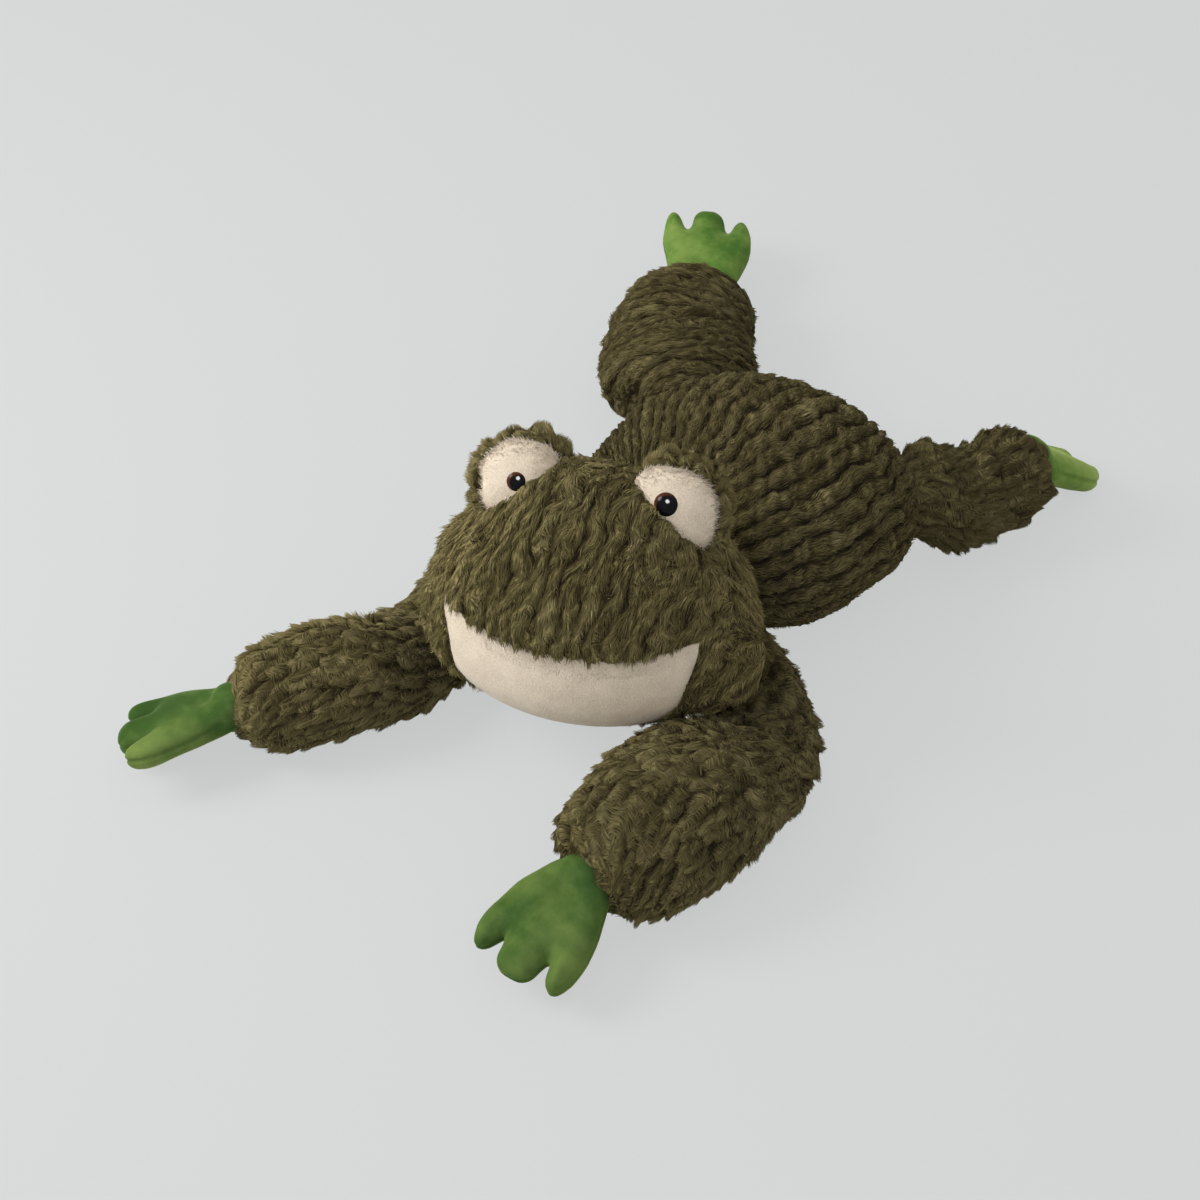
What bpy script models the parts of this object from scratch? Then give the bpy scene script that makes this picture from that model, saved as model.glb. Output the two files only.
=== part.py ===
import bpy
import bmesh
from math import cos, sin, pi, radians, sqrt
from mathutils import Matrix, Vector

MM = 0.001

# Fits shared by every piece
GAP = 0.3 * MM              # clear space between two neighbouring pieces
SLACK = 0.5 * MM            # how much a limb's filling is drawn in from its cover, along its normals
SKIN = 3.2 * MM             # backing and the dense part of the pile
FELT = 2.2 * MM             # short pile cloth of chin, patches and paws
FLAT_CUT = 0.5 * MM         # how deep the resting faces are pressed flat
OVERRUN = 5.0 * MM          # how far a cutter reaches past what it cuts
THREAD = 1.0 * MM           # closing thread laid in the neck and hip seams
THREAD_LIE = 34.0           # degrees that it lies behind the ball's widest ring

# Body: head end towards -Y, rump towards +Y, lying on its belly
BODY_FRONT = 62.0 * MM
BODY_BACK = 74.0 * MM
BODY_HALF_WIDTH = 79.0 * MM
BODY_HEIGHT = 90.0 * MM
BODY_LEAN = 6.0 * MM        # how far the chest end lies over to the frog's right
POUCH_BACK = 26.0 * MM      # middle of the bean pouch behind the body's middle
POUCH_LENGTH = 46.0 * MM
POUCH_WIDTH = 70.0 * MM
POUCH_RISE = 17.0 * MM      # its widest level above the floor
POUCH_TOP = 20.0 * MM
POUCH_BOTTOM = 8.0 * MM

# Head, turned towards the frog's left as it lies
HEAD_LEFT = 21.0 * MM
HEAD_AHEAD = 121.0 * MM
HEAD_RISE = 64.0 * MM
HEAD_TURN = radians(35.0)
HEAD_HALF_WIDTH = 76.0 * MM
HEAD_FRONT = 59.0 * MM
HEAD_BACK = 57.0 * MM
HEAD_TOP = 65.0 * MM
HEAD_BOTTOM = 45.5 * MM
NECK_LEFT = 9.0 * MM
NECK_AHEAD = 60.0 * MM
NECK_RISE = 48.0 * MM
NECK_RADIUS = 22.0 * MM
NECK_MOUTH = 12.0 * MM      # radius of the hole that the head is stuffed through

# Mouth line and the cream chin below it
MOUTH_RISE = 21.0 * MM
MOUTH_REACH = 60.0 * MM
MOUTH_SMILE = 1.0 * MM
CHIN_DROP = 37.0 * MM
LIP_CREASE = 3.0 * MM
LIP_CREASE_HEIGHT = 9.0 * MM

# Eye mounds on top of the head
MOUND_SPREAD = 34.5 * MM
MOUND_BACK = 18.0 * MM
MOUND_RISE = 56.0 * MM
MOUND_WIDTH = 27.0 * MM
MOUND_DEPTH = 23.0 * MM
MOUND_HEIGHT = 27.0 * MM
PATCH_OFFSET = 13.0 * MM     # from a mound's middle to where its patch begins

# Safety eyes and their washers
EYE_RADIUS = 6.2 * MM
EYE_DOME = 4.4 * MM
EYE_RIM = 1.0 * MM
SHANK_RADIUS = 1.8 * MM
SHANK_LENGTH = 11.0 * MM
WASHER_RADIUS = 7.0 * MM
WASHER_THICK = 1.5 * MM
WASHER_SEAT = 2.2 * MM      # below the patch, as the mound is round

# Arms and legs
ARM_LENGTH = 200.0 * MM
ARM_WIDTH = 58.0 * MM
ARM_ROOT = 17.0 * MM
SHOULDER_RISE = 20.0 * MM
LEG_LENGTH = 130.0 * MM
LEG_WIDTH = 68.0 * MM
LEG_ROOT = 20.0 * MM
HIP_RISE = 40.0 * MM
LEG_LEFT_LIFT = 15.0 * MM   # the left leg's end, propped up by its drooping foot
WRIST_BALL = 12.0 * MM
ANKLE_BALL = 13.0 * MM

# Hands and feet
HAND_LENGTH = 54.0 * MM
HAND_WIDTH = 52.0 * MM
FOOT_LENGTH = 62.0 * MM
FOOT_WIDTH = 51.0 * MM
PAW_REACH = 4.0 * MM        # from the end of a sleeve to the middle of the paw's ball
PAW_EDGE = 1.0 * MM         # upright band each side of the seam
PAW_ROUND = 15.0 * MM       # distance from the seam over which a panel swells
PAW_PUFF = 9.0 * MM         # half thickness in the middle

# How each paw lies: droop of the toes, roll and turn against its sleeve
HAND_RIGHT_POSE = (radians(12.0), radians(22.0), radians(-4.0))
HAND_LEFT_POSE = (radians(14.0), radians(0.0), radians(11.0))
FOOT_RIGHT_POSE = (radians(-6.0), radians(0.0), radians(16.0))
FOOT_LEFT_POSE = (radians(33.5), radians(0.0), radians(18.0))

# Fineness of the meshes
BODY_SIDES = 20
BODY_RINGS = 12
HEAD_SIDES = 20
HEAD_RINGS = 13
CORE_SIDES = 14
CORE_RINGS = 9
MOUND_SIDES = 12
MOUND_RINGS = 8
LIMB_SIDES = 12
CORE_LIMB_SIDES = 8
ROOT_STEPS = 4
EYE_STEPS = 12
DOME_STEPS = 4
PATH_STEPS = 6
MOUTH_STEPS = 10
BALL_SIDES = 12
BALL_RINGS = 8
THREAD_STEPS = 16
THREAD_SIDES = 5

# Outlines, as shares of the sizes that they follow
BODY_TAPER_SHARE = 0.10         # narrowing of the body at the neck
END_FULLNESS_SHARE = 0.45       # 1 is an ellipsoid, less gives fuller ends
TOP_FULLNESS_SHARE = 0.70       # the same for the height of the ends
BELLY_FULLNESS_SHARE = 0.80     # 1 is an ellipsoid, less gives a flatter belly
SHOULDER_RIGHT_SHARES = (-0.70, 0.92)
SHOULDER_LEFT_SHARES = (0.64, 0.90)
HIP_RIGHT_SHARES = (-0.98, 0.42)
HIP_LEFT_SHARES = (0.65, 0.90)
ARM_RIGHT_PATH_SHARES = (
    (0.000, 0.000), (-0.034, -0.155), (-0.014, -0.355), (0.031, -0.530),
    (0.041, -0.665), (-0.004, -0.835), (-0.079, -1.005))
ARM_LEFT_PATH_SHARES = (
    (0.000, 0.000), (0.187, -0.101), (0.297, -0.251),
    (0.312, -0.451), (0.312, -0.746))
LEG_RIGHT_PATH_SHARES = (
    (0.000, 0.000), (-0.181, 0.146), (-0.358, 0.322),
    (-0.489, 0.507), (-0.574, 0.661))
LEG_LEFT_PATH_SHARES = (
    (0.000, 0.000), (0.043, 0.134), (0.097, 0.249), (0.132, 0.349),
    (0.143, 0.418), (0.143, 0.476))
ARM_RIGHT_WIDTH_SHARES = (0.90, 0.92, 0.94, 0.96, 0.98, 0.98, 0.96)
ARM_RIGHT_HEIGHT_SHARES = (0.56, 0.52, 0.54, 0.72, 0.90, 0.92, 0.88)
ARM_LEFT_WIDTH_SHARES = (0.82, 0.92, 1.08, 1.28, 1.35, 1.33, 1.20)
ARM_LEFT_HEIGHT_SHARES = (0.56, 0.55, 0.72, 1.00, 1.06, 1.04, 0.96)
LEG_RIGHT_WIDTH_SHARES = (1.12, 1.16, 1.14, 1.12, 1.08, 1.02, 0.94)
LEG_LEFT_WIDTH_SHARES = (0.84, 0.78, 0.73, 0.72, 0.72, 0.72, 0.68)
LEG_RIGHT_HEIGHT_SHARES = (0.80, 0.84, 0.84, 0.82, 0.80, 0.78, 0.74)
LEG_LEFT_HEIGHT_SHARES = (0.80, 0.76, 0.73, 0.72, 0.72, 0.72, 0.68)
STATION_SHARES = (0.19, 0.32, 0.46, 0.60, 0.72, 0.82, 0.90)
CUFF_SHARES = ((0.95, 0.86), (0.985, 0.70), (1.0, 0.60))
PAW_OUTLINE_SHARES = (
    (0.29, 0.11), (0.38, 0.18), (0.46, 0.37), (0.50, 0.61), (0.485, 0.75), (0.44, 0.83),
    (0.375, 0.85), (0.31, 0.77), (0.205, 0.635), (0.19, 0.76), (0.16, 0.92), (0.08, 0.985))
PAW_CORE_SHARES = (
    (0.14, 0.03), (0.26, 0.13), (0.42, 0.30), (0.465, 0.60), (0.43, 0.76), (0.365, 0.73),
    (0.19, 0.575), (0.15, 0.74), (0.10, 0.93))
PAW_RING_SHARES = (1.0, 0.88, 0.55)
PAW_CORE_RING_SHARES = (1.0, 0.70)
PAW_MIDDLE_SHARE = 0.32
ROOT_CLOSE_SHARE = 0.62         # how far round its root ball a sleeve starts, 1 is all round
EYE_LOOK_SHARES = (0.04, 0.72, 0.69)     # an eye's direction: inward, ahead and up
PATCH_LOOK_SHARES = (0.12, 0.80, 0.56)   # a patch's direction: outward, ahead and up

OLIVE = (0.105, 0.088, 0.036)
CREAM = (0.62, 0.52, 0.42)
GREEN = (0.12, 0.27, 0.055)
BLACK = (0.006, 0.006, 0.007)
WHITE = (0.80, 0.80, 0.78)
NATURAL = (0.70, 0.66, 0.58)


def clear_scene():
    for item in list(bpy.data.objects):
        bpy.data.objects.remove(item)


def make_material(name, colour, roughness):
    material = bpy.data.materials.new(name)
    material.use_nodes = True
    shader = material.node_tree.nodes["Principled BSDF"]
    shader.inputs["Base Color"].default_value = (*colour, 1.0)
    shader.inputs["Roughness"].default_value = roughness
    shader.inputs["Metallic"].default_value = 0.0
    material.diffuse_color = (*colour, 1.0)
    return material


def to_object(name, bm, colour=None, roughness=0.9):
    bmesh.ops.remove_doubles(bm, verts=bm.verts, dist=GAP / 100)
    bmesh.ops.recalc_face_normals(bm, faces=bm.faces)
    bmesh.ops.triangulate(bm, faces=bm.faces, quad_method="FIXED")
    mesh = bpy.data.meshes.new(name)
    bm.to_mesh(mesh)
    bm.free()
    item = bpy.data.objects.new(name, mesh)
    bpy.context.scene.collection.objects.link(item)
    if colour is not None:
        mesh.materials.append(make_material(name, colour, roughness))
        mesh.shade_smooth()
    return item


def carve(item, cutter, operation="DIFFERENCE", keep=False):
    """Apply an exact Boolean to item, and drop the cutter unless it is kept."""
    step = item.modifiers.new("carve", "BOOLEAN")
    step.solver = "EXACT"
    step.operation = operation
    step.object = cutter
    graph = bpy.context.evaluated_depsgraph_get()
    mesh = bpy.data.meshes.new_from_object(item.evaluated_get(graph))
    item.modifiers.clear()
    item.data = mesh
    if not keep:
        bpy.data.objects.remove(cutter)
    return item


def sphere(name, centre, radius, sides=BALL_SIDES, rings=BALL_RINGS):
    bm = bmesh.new()
    bmesh.ops.create_uvsphere(bm, u_segments=sides, v_segments=rings, radius=radius,
                              matrix=Matrix.Translation(centre))
    return to_object(name, bm)


def room(name, centre, radius, sides=BALL_SIDES, rings=BALL_RINGS):
    """Cutter whose flat faces all stay outside a ball of the given radius."""
    return sphere(name, centre, radius / (cos(pi / sides) * cos(pi / (2 * rings))), sides, rings)


def half_space(name, point, normal, size):
    """A large cube whose face passes through point and that lies on the side of normal."""
    turn = Vector(normal).to_track_quat("Z", "Y").to_matrix().to_4x4()
    place = Matrix.Translation(Vector(point) + Vector(normal).normalized() * size / 2) @ turn
    bm = bmesh.new()
    bmesh.ops.create_cube(bm, size=size, matrix=place)
    return to_object(name, bm)


def body_point(unit, inset, floor):
    """Place a unit sphere's point on the body, drawn in by inset."""
    along, across, up = unit.z, unit.x, unit.y
    ring = sqrt(max(1 - along * along, 0))
    wider = ring ** END_FULLNESS_SHARE / ring if ring > 0 else 0
    higher = ring ** TOP_FULLNESS_SHARE / ring if ring > 0 else 0
    taper = 1 - BODY_TAPER_SHARE * max(0, -along) ** 1.5
    half_height = BODY_HEIGHT / 2 * taper
    lift = up * higher
    if lift < 0:
        lift = -abs(lift) ** BELLY_FULLNESS_SHARE
    length = BODY_FRONT if along < 0 else BODY_BACK
    x = across * wider * (BODY_HALF_WIDTH * taper - inset)
    y = along * (length - inset)
    z = half_height - FLAT_CUT + lift * (half_height - inset)
    return Vector((x - BODY_LEAN * max(0, -along), y, max(z, floor)))


def body_form(name, inset, floor, sides, rings):
    bm = bmesh.new()
    bmesh.ops.create_uvsphere(bm, u_segments=sides, v_segments=rings, radius=1)
    for vert in bm.verts:
        vert.co = body_point(vert.co, inset, floor)
    return to_object(name, bm)


def head_matrix():
    place = Vector((HEAD_LEFT, -HEAD_AHEAD, HEAD_RISE))
    return Matrix.Translation(place) @ Matrix.Rotation(HEAD_TURN, 4, "Z")


def neck_place():
    return Vector((NECK_LEFT, -NECK_AHEAD, NECK_RISE))


def mouth_line(x):
    """Height of the mouth above the head's middle, at x from its centre plane."""
    return MOUTH_RISE + MOUTH_SMILE * ((x / MOUTH_REACH) ** 2 - 1)


def head_point(unit, inset):
    """Place a unit sphere's point on the head in the head's own frame."""
    across, ahead, up = unit.x, unit.y, unit.z
    depth = HEAD_FRONT if ahead < 0 else HEAD_BACK
    height = HEAD_TOP if up > 0 else HEAD_BOTTOM
    point = Vector((across * (HEAD_HALF_WIDTH - inset), ahead * (depth - inset), 0))
    point.z = up * (height - inset)
    off = (point.z - mouth_line(point.x)) / LIP_CREASE_HEIGHT
    crease = LIP_CREASE * max(0, 1 - off * off) * max(0, -ahead)
    return point + Vector((0, crease, 0))


def head_form(name, inset, sides, rings):
    bm = bmesh.new()
    bmesh.ops.create_uvsphere(bm, u_segments=sides, v_segments=rings, radius=1)
    for vert in bm.verts:
        vert.co = head_matrix() @ head_point(vert.co, inset)
    return to_object(name, bm)


def mound_form(name, side, inset):
    size = Matrix.Diagonal((MOUND_WIDTH - inset, MOUND_DEPTH - inset, MOUND_HEIGHT - inset, 1))
    place = Matrix.Translation(mound_place(side))
    bm = bmesh.new()
    bmesh.ops.create_uvsphere(bm, u_segments=MOUND_SIDES, v_segments=MOUND_RINGS, radius=1,
                              matrix=head_matrix() @ place @ size)
    return to_object(name, bm)


def mound_place(side):
    return Vector((side * MOUND_SPREAD, MOUND_BACK, MOUND_RISE))


def look(side):
    """Direction in which an eye looks, in the head's own frame."""
    inward, ahead, up = EYE_LOOK_SHARES
    return Vector((-inward * side, -ahead, up)).normalized()


def patch_side(side):
    """Direction that the cream patch faces, a little outward of the eye."""
    outward, ahead, up = PATCH_LOOK_SHARES
    return Vector((outward * side, -ahead, up)).normalized()


def eye_matrix(side):
    """Frame of an eye on the mound's surface, +Z square out of it."""
    way = look(side)
    size = Vector((MOUND_WIDTH, MOUND_DEPTH, MOUND_HEIGHT))
    reach = 1 / Vector((way.x / size.x, way.y / size.y, way.z / size.z)).length
    square = Vector((way.x / size.x ** 2, way.y / size.y ** 2, way.z / size.z ** 2)).normalized()
    turn = square.to_track_quat("Z", "Y").to_matrix().to_4x4()
    return head_matrix() @ Matrix.Translation(mound_place(side) + way * reach) @ turn


def turned(name, profile, steps, place, colour=None, roughness=0.5):
    """Spin a profile of radius and height about Z, and place the solid."""
    bm = bmesh.new()
    verts = [bm.verts.new((radius, 0, height)) for radius, height in profile]
    edges = [bm.edges.new(pair) for pair in zip(verts, verts[1:])]
    bmesh.ops.spin(bm, geom=verts + edges, cent=(0, 0, 0), axis=(0, 0, 1), angle=2 * pi,
                   steps=steps, use_merge=True)
    bmesh.ops.transform(bm, matrix=place, verts=bm.verts)
    return to_object(name, bm, colour, roughness)


def peg(name, radius, low, high, place, steps=EYE_STEPS):
    return turned(name, [(0, high), (radius, high), (radius, low), (0, low)], steps, place)


def eye_profile():
    """Outer profile of a safety eye, from the dome's top to the shank's end."""
    turns = [pi / 2 * k / DOME_STEPS for k in range(DOME_STEPS + 1)]
    dome = [(EYE_RADIUS * sin(turn), EYE_RIM + EYE_DOME * cos(turn)) for turn in turns]
    shank = [(SHANK_RADIUS, GAP), (SHANK_RADIUS, -SHANK_LENGTH), (0, -SHANK_LENGTH)]
    return dome + [(EYE_RADIUS, GAP)] + shank


def smooth_path(points, steps):
    """Catmull-Rom curve through points, with steps pieces for each stretch."""
    ends = [points[0] * 2 - points[1]] + points + [points[-1] * 2 - points[-2]]
    curve = []
    for index in range(1, len(ends) - 2):
        a, b, c, d = ends[index - 1:index + 3]
        for k in range(steps):
            t = k / steps
            curve.append(0.5 * (2 * b + (c - a) * t + (2 * a - 5 * b + 4 * c - d) * t * t
                                + (3 * b - a - 3 * c + d) * t ** 3))
    curve.append(points[-1])
    return curve


def point_at(curve, share):
    """Point and direction at a share of a curve's length."""
    spans = [(b - a).length for a, b in zip(curve, curve[1:])]
    left = share * sum(spans)
    for index, span in enumerate(spans):
        if left <= span or index == len(spans) - 1:
            way = (curve[index + 1] - curve[index]).normalized()
            return curve[index] + way * left, way
        left -= span


def table_at(shares, table, share):
    """Straight-line reading of a table of values at places given by shares."""
    if share <= shares[0]:
        return table[0]
    for low, high, a, b in zip(shares, shares[1:], table, table[1:]):
        if share <= high:
            return a + (b - a) * (share - low) / (high - low)
    return table[-1]


def draw_in(bm, slack):
    """Move each corner of a closed shape inward by slack."""
    bmesh.ops.recalc_face_normals(bm, faces=bm.faces)
    bm.normal_update()
    for vert in bm.verts:
        vert.co -= vert.normal * slack


class Limb:
    """One arm or leg: its root, path, thickness and the paw at its end."""

    def __init__(self, name, root, length, width, ball, path, widths, heights, rise, paw):
        self.name = name
        self.root = root
        self.width = width
        self.ball = ball
        self.widths = widths
        self.heights = heights
        self.paw = paw
        flat = [Vector((root.x + x * length, root.y + y * length, 0)) for x, y in path]
        self.curve = smooth_path(flat, PATH_STEPS)
        self.length = sum((b - a).length for a, b in zip(self.curve, self.curve[1:]))
        self.rise = rise

    def size_at(self, share):
        """Full width and height of the sleeve there."""
        wide = self.width * table_at(STATION_SHARES, self.widths, share)
        high = self.width * table_at(STATION_SHARES, self.heights, share)
        return wide, high

    def centre_at(self, share):
        """Middle of the sleeve and its direction, blended up to the root's height."""
        place, way = point_at(self.curve, share)
        high = self.size_at(share)[1]
        blend = min(1, share / STATION_SHARES[2])
        floor_rise = high / 2 - FLAT_CUT + self.rise * share
        place.z = self.root.z + (floor_rise - self.root.z) * blend
        return place, way

    def end_place(self):
        """Middle of the ball that the paw turns on."""
        place, way = self.centre_at(1.0)
        return place + way * PAW_REACH

    def end_way(self):
        return self.centre_at(1.0)[1]

    def rings(self, inset):
        """Rings of the sleeve: a ball at the root, then the swelling, then the cuff."""
        start = point_at(self.curve, 0)[1]
        rings = []
        radius = self.ball - inset
        for k in range(1, ROOT_STEPS + 1):
            angle = pi * ROOT_CLOSE_SHARE * k / ROOT_STEPS
            half = radius * sin(angle)
            rings.append((self.root - start * radius * cos(angle), start, half, half))
        for share in STATION_SHARES:
            place, way = self.centre_at(share)
            wide, high = self.size_at(share)
            rings.append((place, way, wide / 2 - inset, high / 2 - inset))
        wide, high = self.size_at(1.0)
        cuff_inset = inset / self.length
        for share, size in CUFF_SHARES:
            place, way = self.centre_at(share - cuff_inset)
            rings.append((place, way, wide / 2 * size - inset, high / 2 * size - inset))
        return rings, self.root - start * radius

    def form(self, name, inset, sides, floor, slack=0):
        """Closed solid of the sleeve, drawn in by inset and slack."""
        rings, tip = self.rings(inset)
        bm = bmesh.new()
        loops = []
        for place, way, half_wide, half_high in rings:
            across = way.cross(Vector((0, 0, 1))).normalized()
            loop = []
            for k in range(sides):
                angle = 2 * pi * (k + 0.5) / sides
                spot = place + across * half_wide * cos(angle)
                spot.z = max(spot.z + half_high * sin(angle), floor)
                loop.append(bm.verts.new(spot))
            loops.append(loop)
        edges = [[bm.edges.new((loop[k - 1], loop[k])) for k in range(sides)] for loop in loops]
        for near, far in zip(edges, edges[1:]):
            bmesh.ops.bridge_loops(bm, edges=near + far)
        pole = bm.verts.new(tip)
        for k in range(sides):
            bm.faces.new((pole, loops[0][k - 1], loops[0][k]))
        bmesh.ops.contextual_create(bm, geom=edges[-1])
        draw_in(bm, slack)
        return to_object(name, bm)


def paw_outline(length, width, inset):
    """Outline of a three-toed paw in its own plane, +Y to the toes, drawn in by inset."""
    shares = PAW_CORE_SHARES if inset > 0 else PAW_OUTLINE_SHARES
    right = [Vector((x * width, y * length, 0)) for x, y in shares]
    points = right + [Vector((0, length, 0))] + [Vector((-p.x, p.y, 0)) for p in reversed(right)]
    middle = Vector((0, PAW_MIDDLE_SHARE * length, 0))
    return [point - (point - middle).normalized() * inset for point in points]


def edge_distance(point, outline):
    """Distance from a point to a closed outline."""
    best = []
    for k, start in enumerate(outline):
        span = outline[(k + 1) % len(outline)] - start
        share = max(0, min(1, (point - start).dot(span) / span.dot(span)))
        best.append((point - start - span * share).length)
    return min(best)


def paw_form(name, length, width, ball, inset, place, slack=0):
    """Closed puffed solid of a paw with its root ball, drawn in by inset and slack."""
    outline = paw_outline(length, width, inset)
    shares = PAW_CORE_RING_SHARES if inset > 0 else PAW_RING_SHARES
    middle = Vector((0, PAW_MIDDLE_SHARE * length, 0))
    bm = bmesh.new()
    faces = []
    for side in (-1, 1):
        loops = []
        for share in shares:
            loop = []
            for point in outline:
                spot = middle + (point - middle) * share
                rise = min(1, edge_distance(spot, outline) / PAW_ROUND)
                swell = sqrt(1 - (1 - rise) ** 2)
                spot.z = side * (PAW_EDGE + (PAW_PUFF - inset - PAW_EDGE) * swell)
                loop.append(bm.verts.new(spot))
            loops.append(loop)
        peak = bm.verts.new(middle + Vector((0, 0, side * (PAW_PUFF - inset))))
        count = len(outline)
        for near, far in zip(loops, loops[1:]):
            faces += [bm.faces.new((near[k - 1], near[k], far[k], far[k - 1])) for k in range(count)]
        faces += [bm.faces.new((loops[-1][k - 1], loops[-1][k], peak)) for k in range(count)]
    rims = [line for line in bm.edges if len(line.link_faces) == 1]
    bmesh.ops.bridge_loops(bm, edges=rims)
    draw_in(bm, slack)
    bmesh.ops.transform(bm, matrix=place, verts=bm.verts)
    mitt = to_object(name, bm)
    return carve(mitt, sphere("root", place.translation, ball - inset - slack), "UNION")


def seat(item, pivot):
    """Move an object's origin to its joint without moving its shape."""
    item.data.transform(Matrix.Translation(-pivot))
    item.location = pivot
    return item


def group(name, pivot, items, parent=None):
    """Hang items, and their joint's empty, under a parent empty."""
    empty = bpy.data.objects.new(name, None)
    bpy.context.scene.collection.objects.link(empty)
    empty.location = pivot
    if parent is not None:
        empty.parent = parent
        empty.location = pivot - world_place(parent)
    for item in items:
        seat(item, pivot)
        item.parent = empty
        item.location = (0, 0, 0)
    return empty


def world_place(empty):
    place = Vector(empty.location)
    while empty.parent is not None:
        empty = empty.parent
        place += empty.location
    return place


def paint(item, name, colour, roughness=0.9):
    item.name = name
    item.data.name = name
    item.data.materials.clear()
    item.data.materials.append(make_material(name, colour, roughness))
    item.data.shade_smooth()
    return item


def seam_thread(name, pivot, way, radius):
    """Ring of closing thread in the gap round a ball, square to way."""
    turn = Vector(way).to_track_quat("Z", "Y").to_matrix().to_4x4()
    bm = bmesh.new()
    lie = radians(THREAD_LIE)
    middle = thread_circle(radius) * cos(lie)
    sunk = Matrix.Translation((0, 0, -thread_circle(radius) * sin(lie)))
    start = Matrix.Translation((middle, 0, 0)) @ Matrix.Rotation(pi / 2, 4, "X")
    circle = bmesh.ops.create_circle(bm, segments=THREAD_SIDES, radius=THREAD / 2, matrix=start)
    edges = list({edge for vert in circle["verts"] for edge in vert.link_edges})
    bmesh.ops.spin(bm, geom=circle["verts"] + edges, cent=(0, 0, 0), axis=(0, 0, 1), angle=2 * pi,
                   steps=THREAD_STEPS, use_merge=True)
    bmesh.ops.transform(bm, matrix=Matrix.Translation(pivot) @ turn @ sunk, verts=bm.verts)
    return paint(to_object(name, bm), name, OLIVE, 0.7)


def thread_circle(ball):
    """Distance from a ball's middle to the thread's, at the corners of its ring."""
    return (ball + GAP + THREAD / 2) / cos(pi / THREAD_STEPS)


def socket_radius(ball):
    return thread_circle(ball) + THREAD / 2 + GAP


def root_place(shares, length, rise):
    return Vector((shares[0] * BODY_HALF_WIDTH, shares[1] * length, rise))


def make_limbs():
    shoulder_right = root_place(SHOULDER_RIGHT_SHARES, -BODY_FRONT, SHOULDER_RISE)
    shoulder_left = root_place(SHOULDER_LEFT_SHARES, -BODY_FRONT, SHOULDER_RISE)
    hip_right = root_place(HIP_RIGHT_SHARES, BODY_BACK, HIP_RISE)
    hip_left = root_place(HIP_LEFT_SHARES, BODY_BACK, HIP_RISE)
    arm = (ARM_LENGTH, ARM_WIDTH, ARM_ROOT)
    leg = (LEG_LENGTH, LEG_WIDTH, LEG_ROOT)
    return (
        Limb("arm_right", shoulder_right, *arm, ARM_RIGHT_PATH_SHARES, ARM_RIGHT_WIDTH_SHARES,
             ARM_RIGHT_HEIGHT_SHARES, 0, "hand_right"),
        Limb("arm_left", shoulder_left, *arm, ARM_LEFT_PATH_SHARES, ARM_LEFT_WIDTH_SHARES,
             ARM_LEFT_HEIGHT_SHARES, 0, "hand_left"),
        Limb("leg_right", hip_right, *leg, LEG_RIGHT_PATH_SHARES, LEG_RIGHT_WIDTH_SHARES,
             LEG_RIGHT_HEIGHT_SHARES, 0, "foot_right"),
        Limb("leg_left", hip_left, *leg, LEG_LEFT_PATH_SHARES, LEG_LEFT_WIDTH_SHARES,
             LEG_LEFT_HEIGHT_SHARES, LEG_LEFT_LIFT, "foot_left"))


def make_torso(limbs):
    skin = body_form("body_skin", 0, -FLAT_CUT, BODY_SIDES, BODY_RINGS)
    carve(skin, half_space("floor", Vector((0, 0, 0)), (0, 0, -1), 4 * BODY_HALF_WIDTH))
    carve(skin, body_form("hollow", SKIN, SKIN, CORE_SIDES, CORE_RINGS))
    filling = body_form("body_filling", SKIN + GAP, SKIN + GAP, CORE_SIDES, CORE_RINGS)
    carve(filling, pouch_form("pocket", GAP))
    pouch = pouch_form("bean_pouch", 0)
    for piece in (skin, filling):
        carve(piece, room("neck", neck_place(), socket_radius(NECK_RADIUS)))
        for limb in limbs:
            free = socket_radius(limb.ball) if limb.name.startswith("leg") else limb.ball + GAP
            carve(piece, room("socket", limb.root, free))
    return [paint(skin, "body_skin", OLIVE), paint(filling, "body_filling", WHITE),
            paint(pouch, "bean_pouch", NATURAL)]


def pouch_form(name, grow):
    """Pillow of beans that lies in the rump; grown, it is the pocket, open below."""
    size = Vector((POUCH_WIDTH / 2 + grow, POUCH_LENGTH / 2 + grow, 0))
    place = Vector((0, POUCH_BACK, POUCH_RISE))
    bm = bmesh.new()
    bmesh.ops.create_uvsphere(bm, u_segments=CORE_SIDES, v_segments=CORE_RINGS, radius=1)
    for vert in bm.verts:
        deep = POUCH_TOP if vert.co.z > 0 else POUCH_BOTTOM
        vert.co = place + Vector((vert.co.x * size.x, vert.co.y * size.y, vert.co.z * (deep + grow)))
    pillow = to_object(name, bm)
    if grow == 0:
        return pillow
    bm = bmesh.new()
    depth = POUCH_RISE + OVERRUN
    bmesh.ops.create_cone(bm, cap_ends=True, segments=CORE_SIDES, radius1=1, radius2=1, depth=depth)
    for vert in bm.verts:
        vert.co = place + Vector((vert.co.x * size.x, vert.co.y * size.y, vert.co.z - depth / 2))
    return carve(pillow, to_object("well", bm), "UNION")


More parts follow.
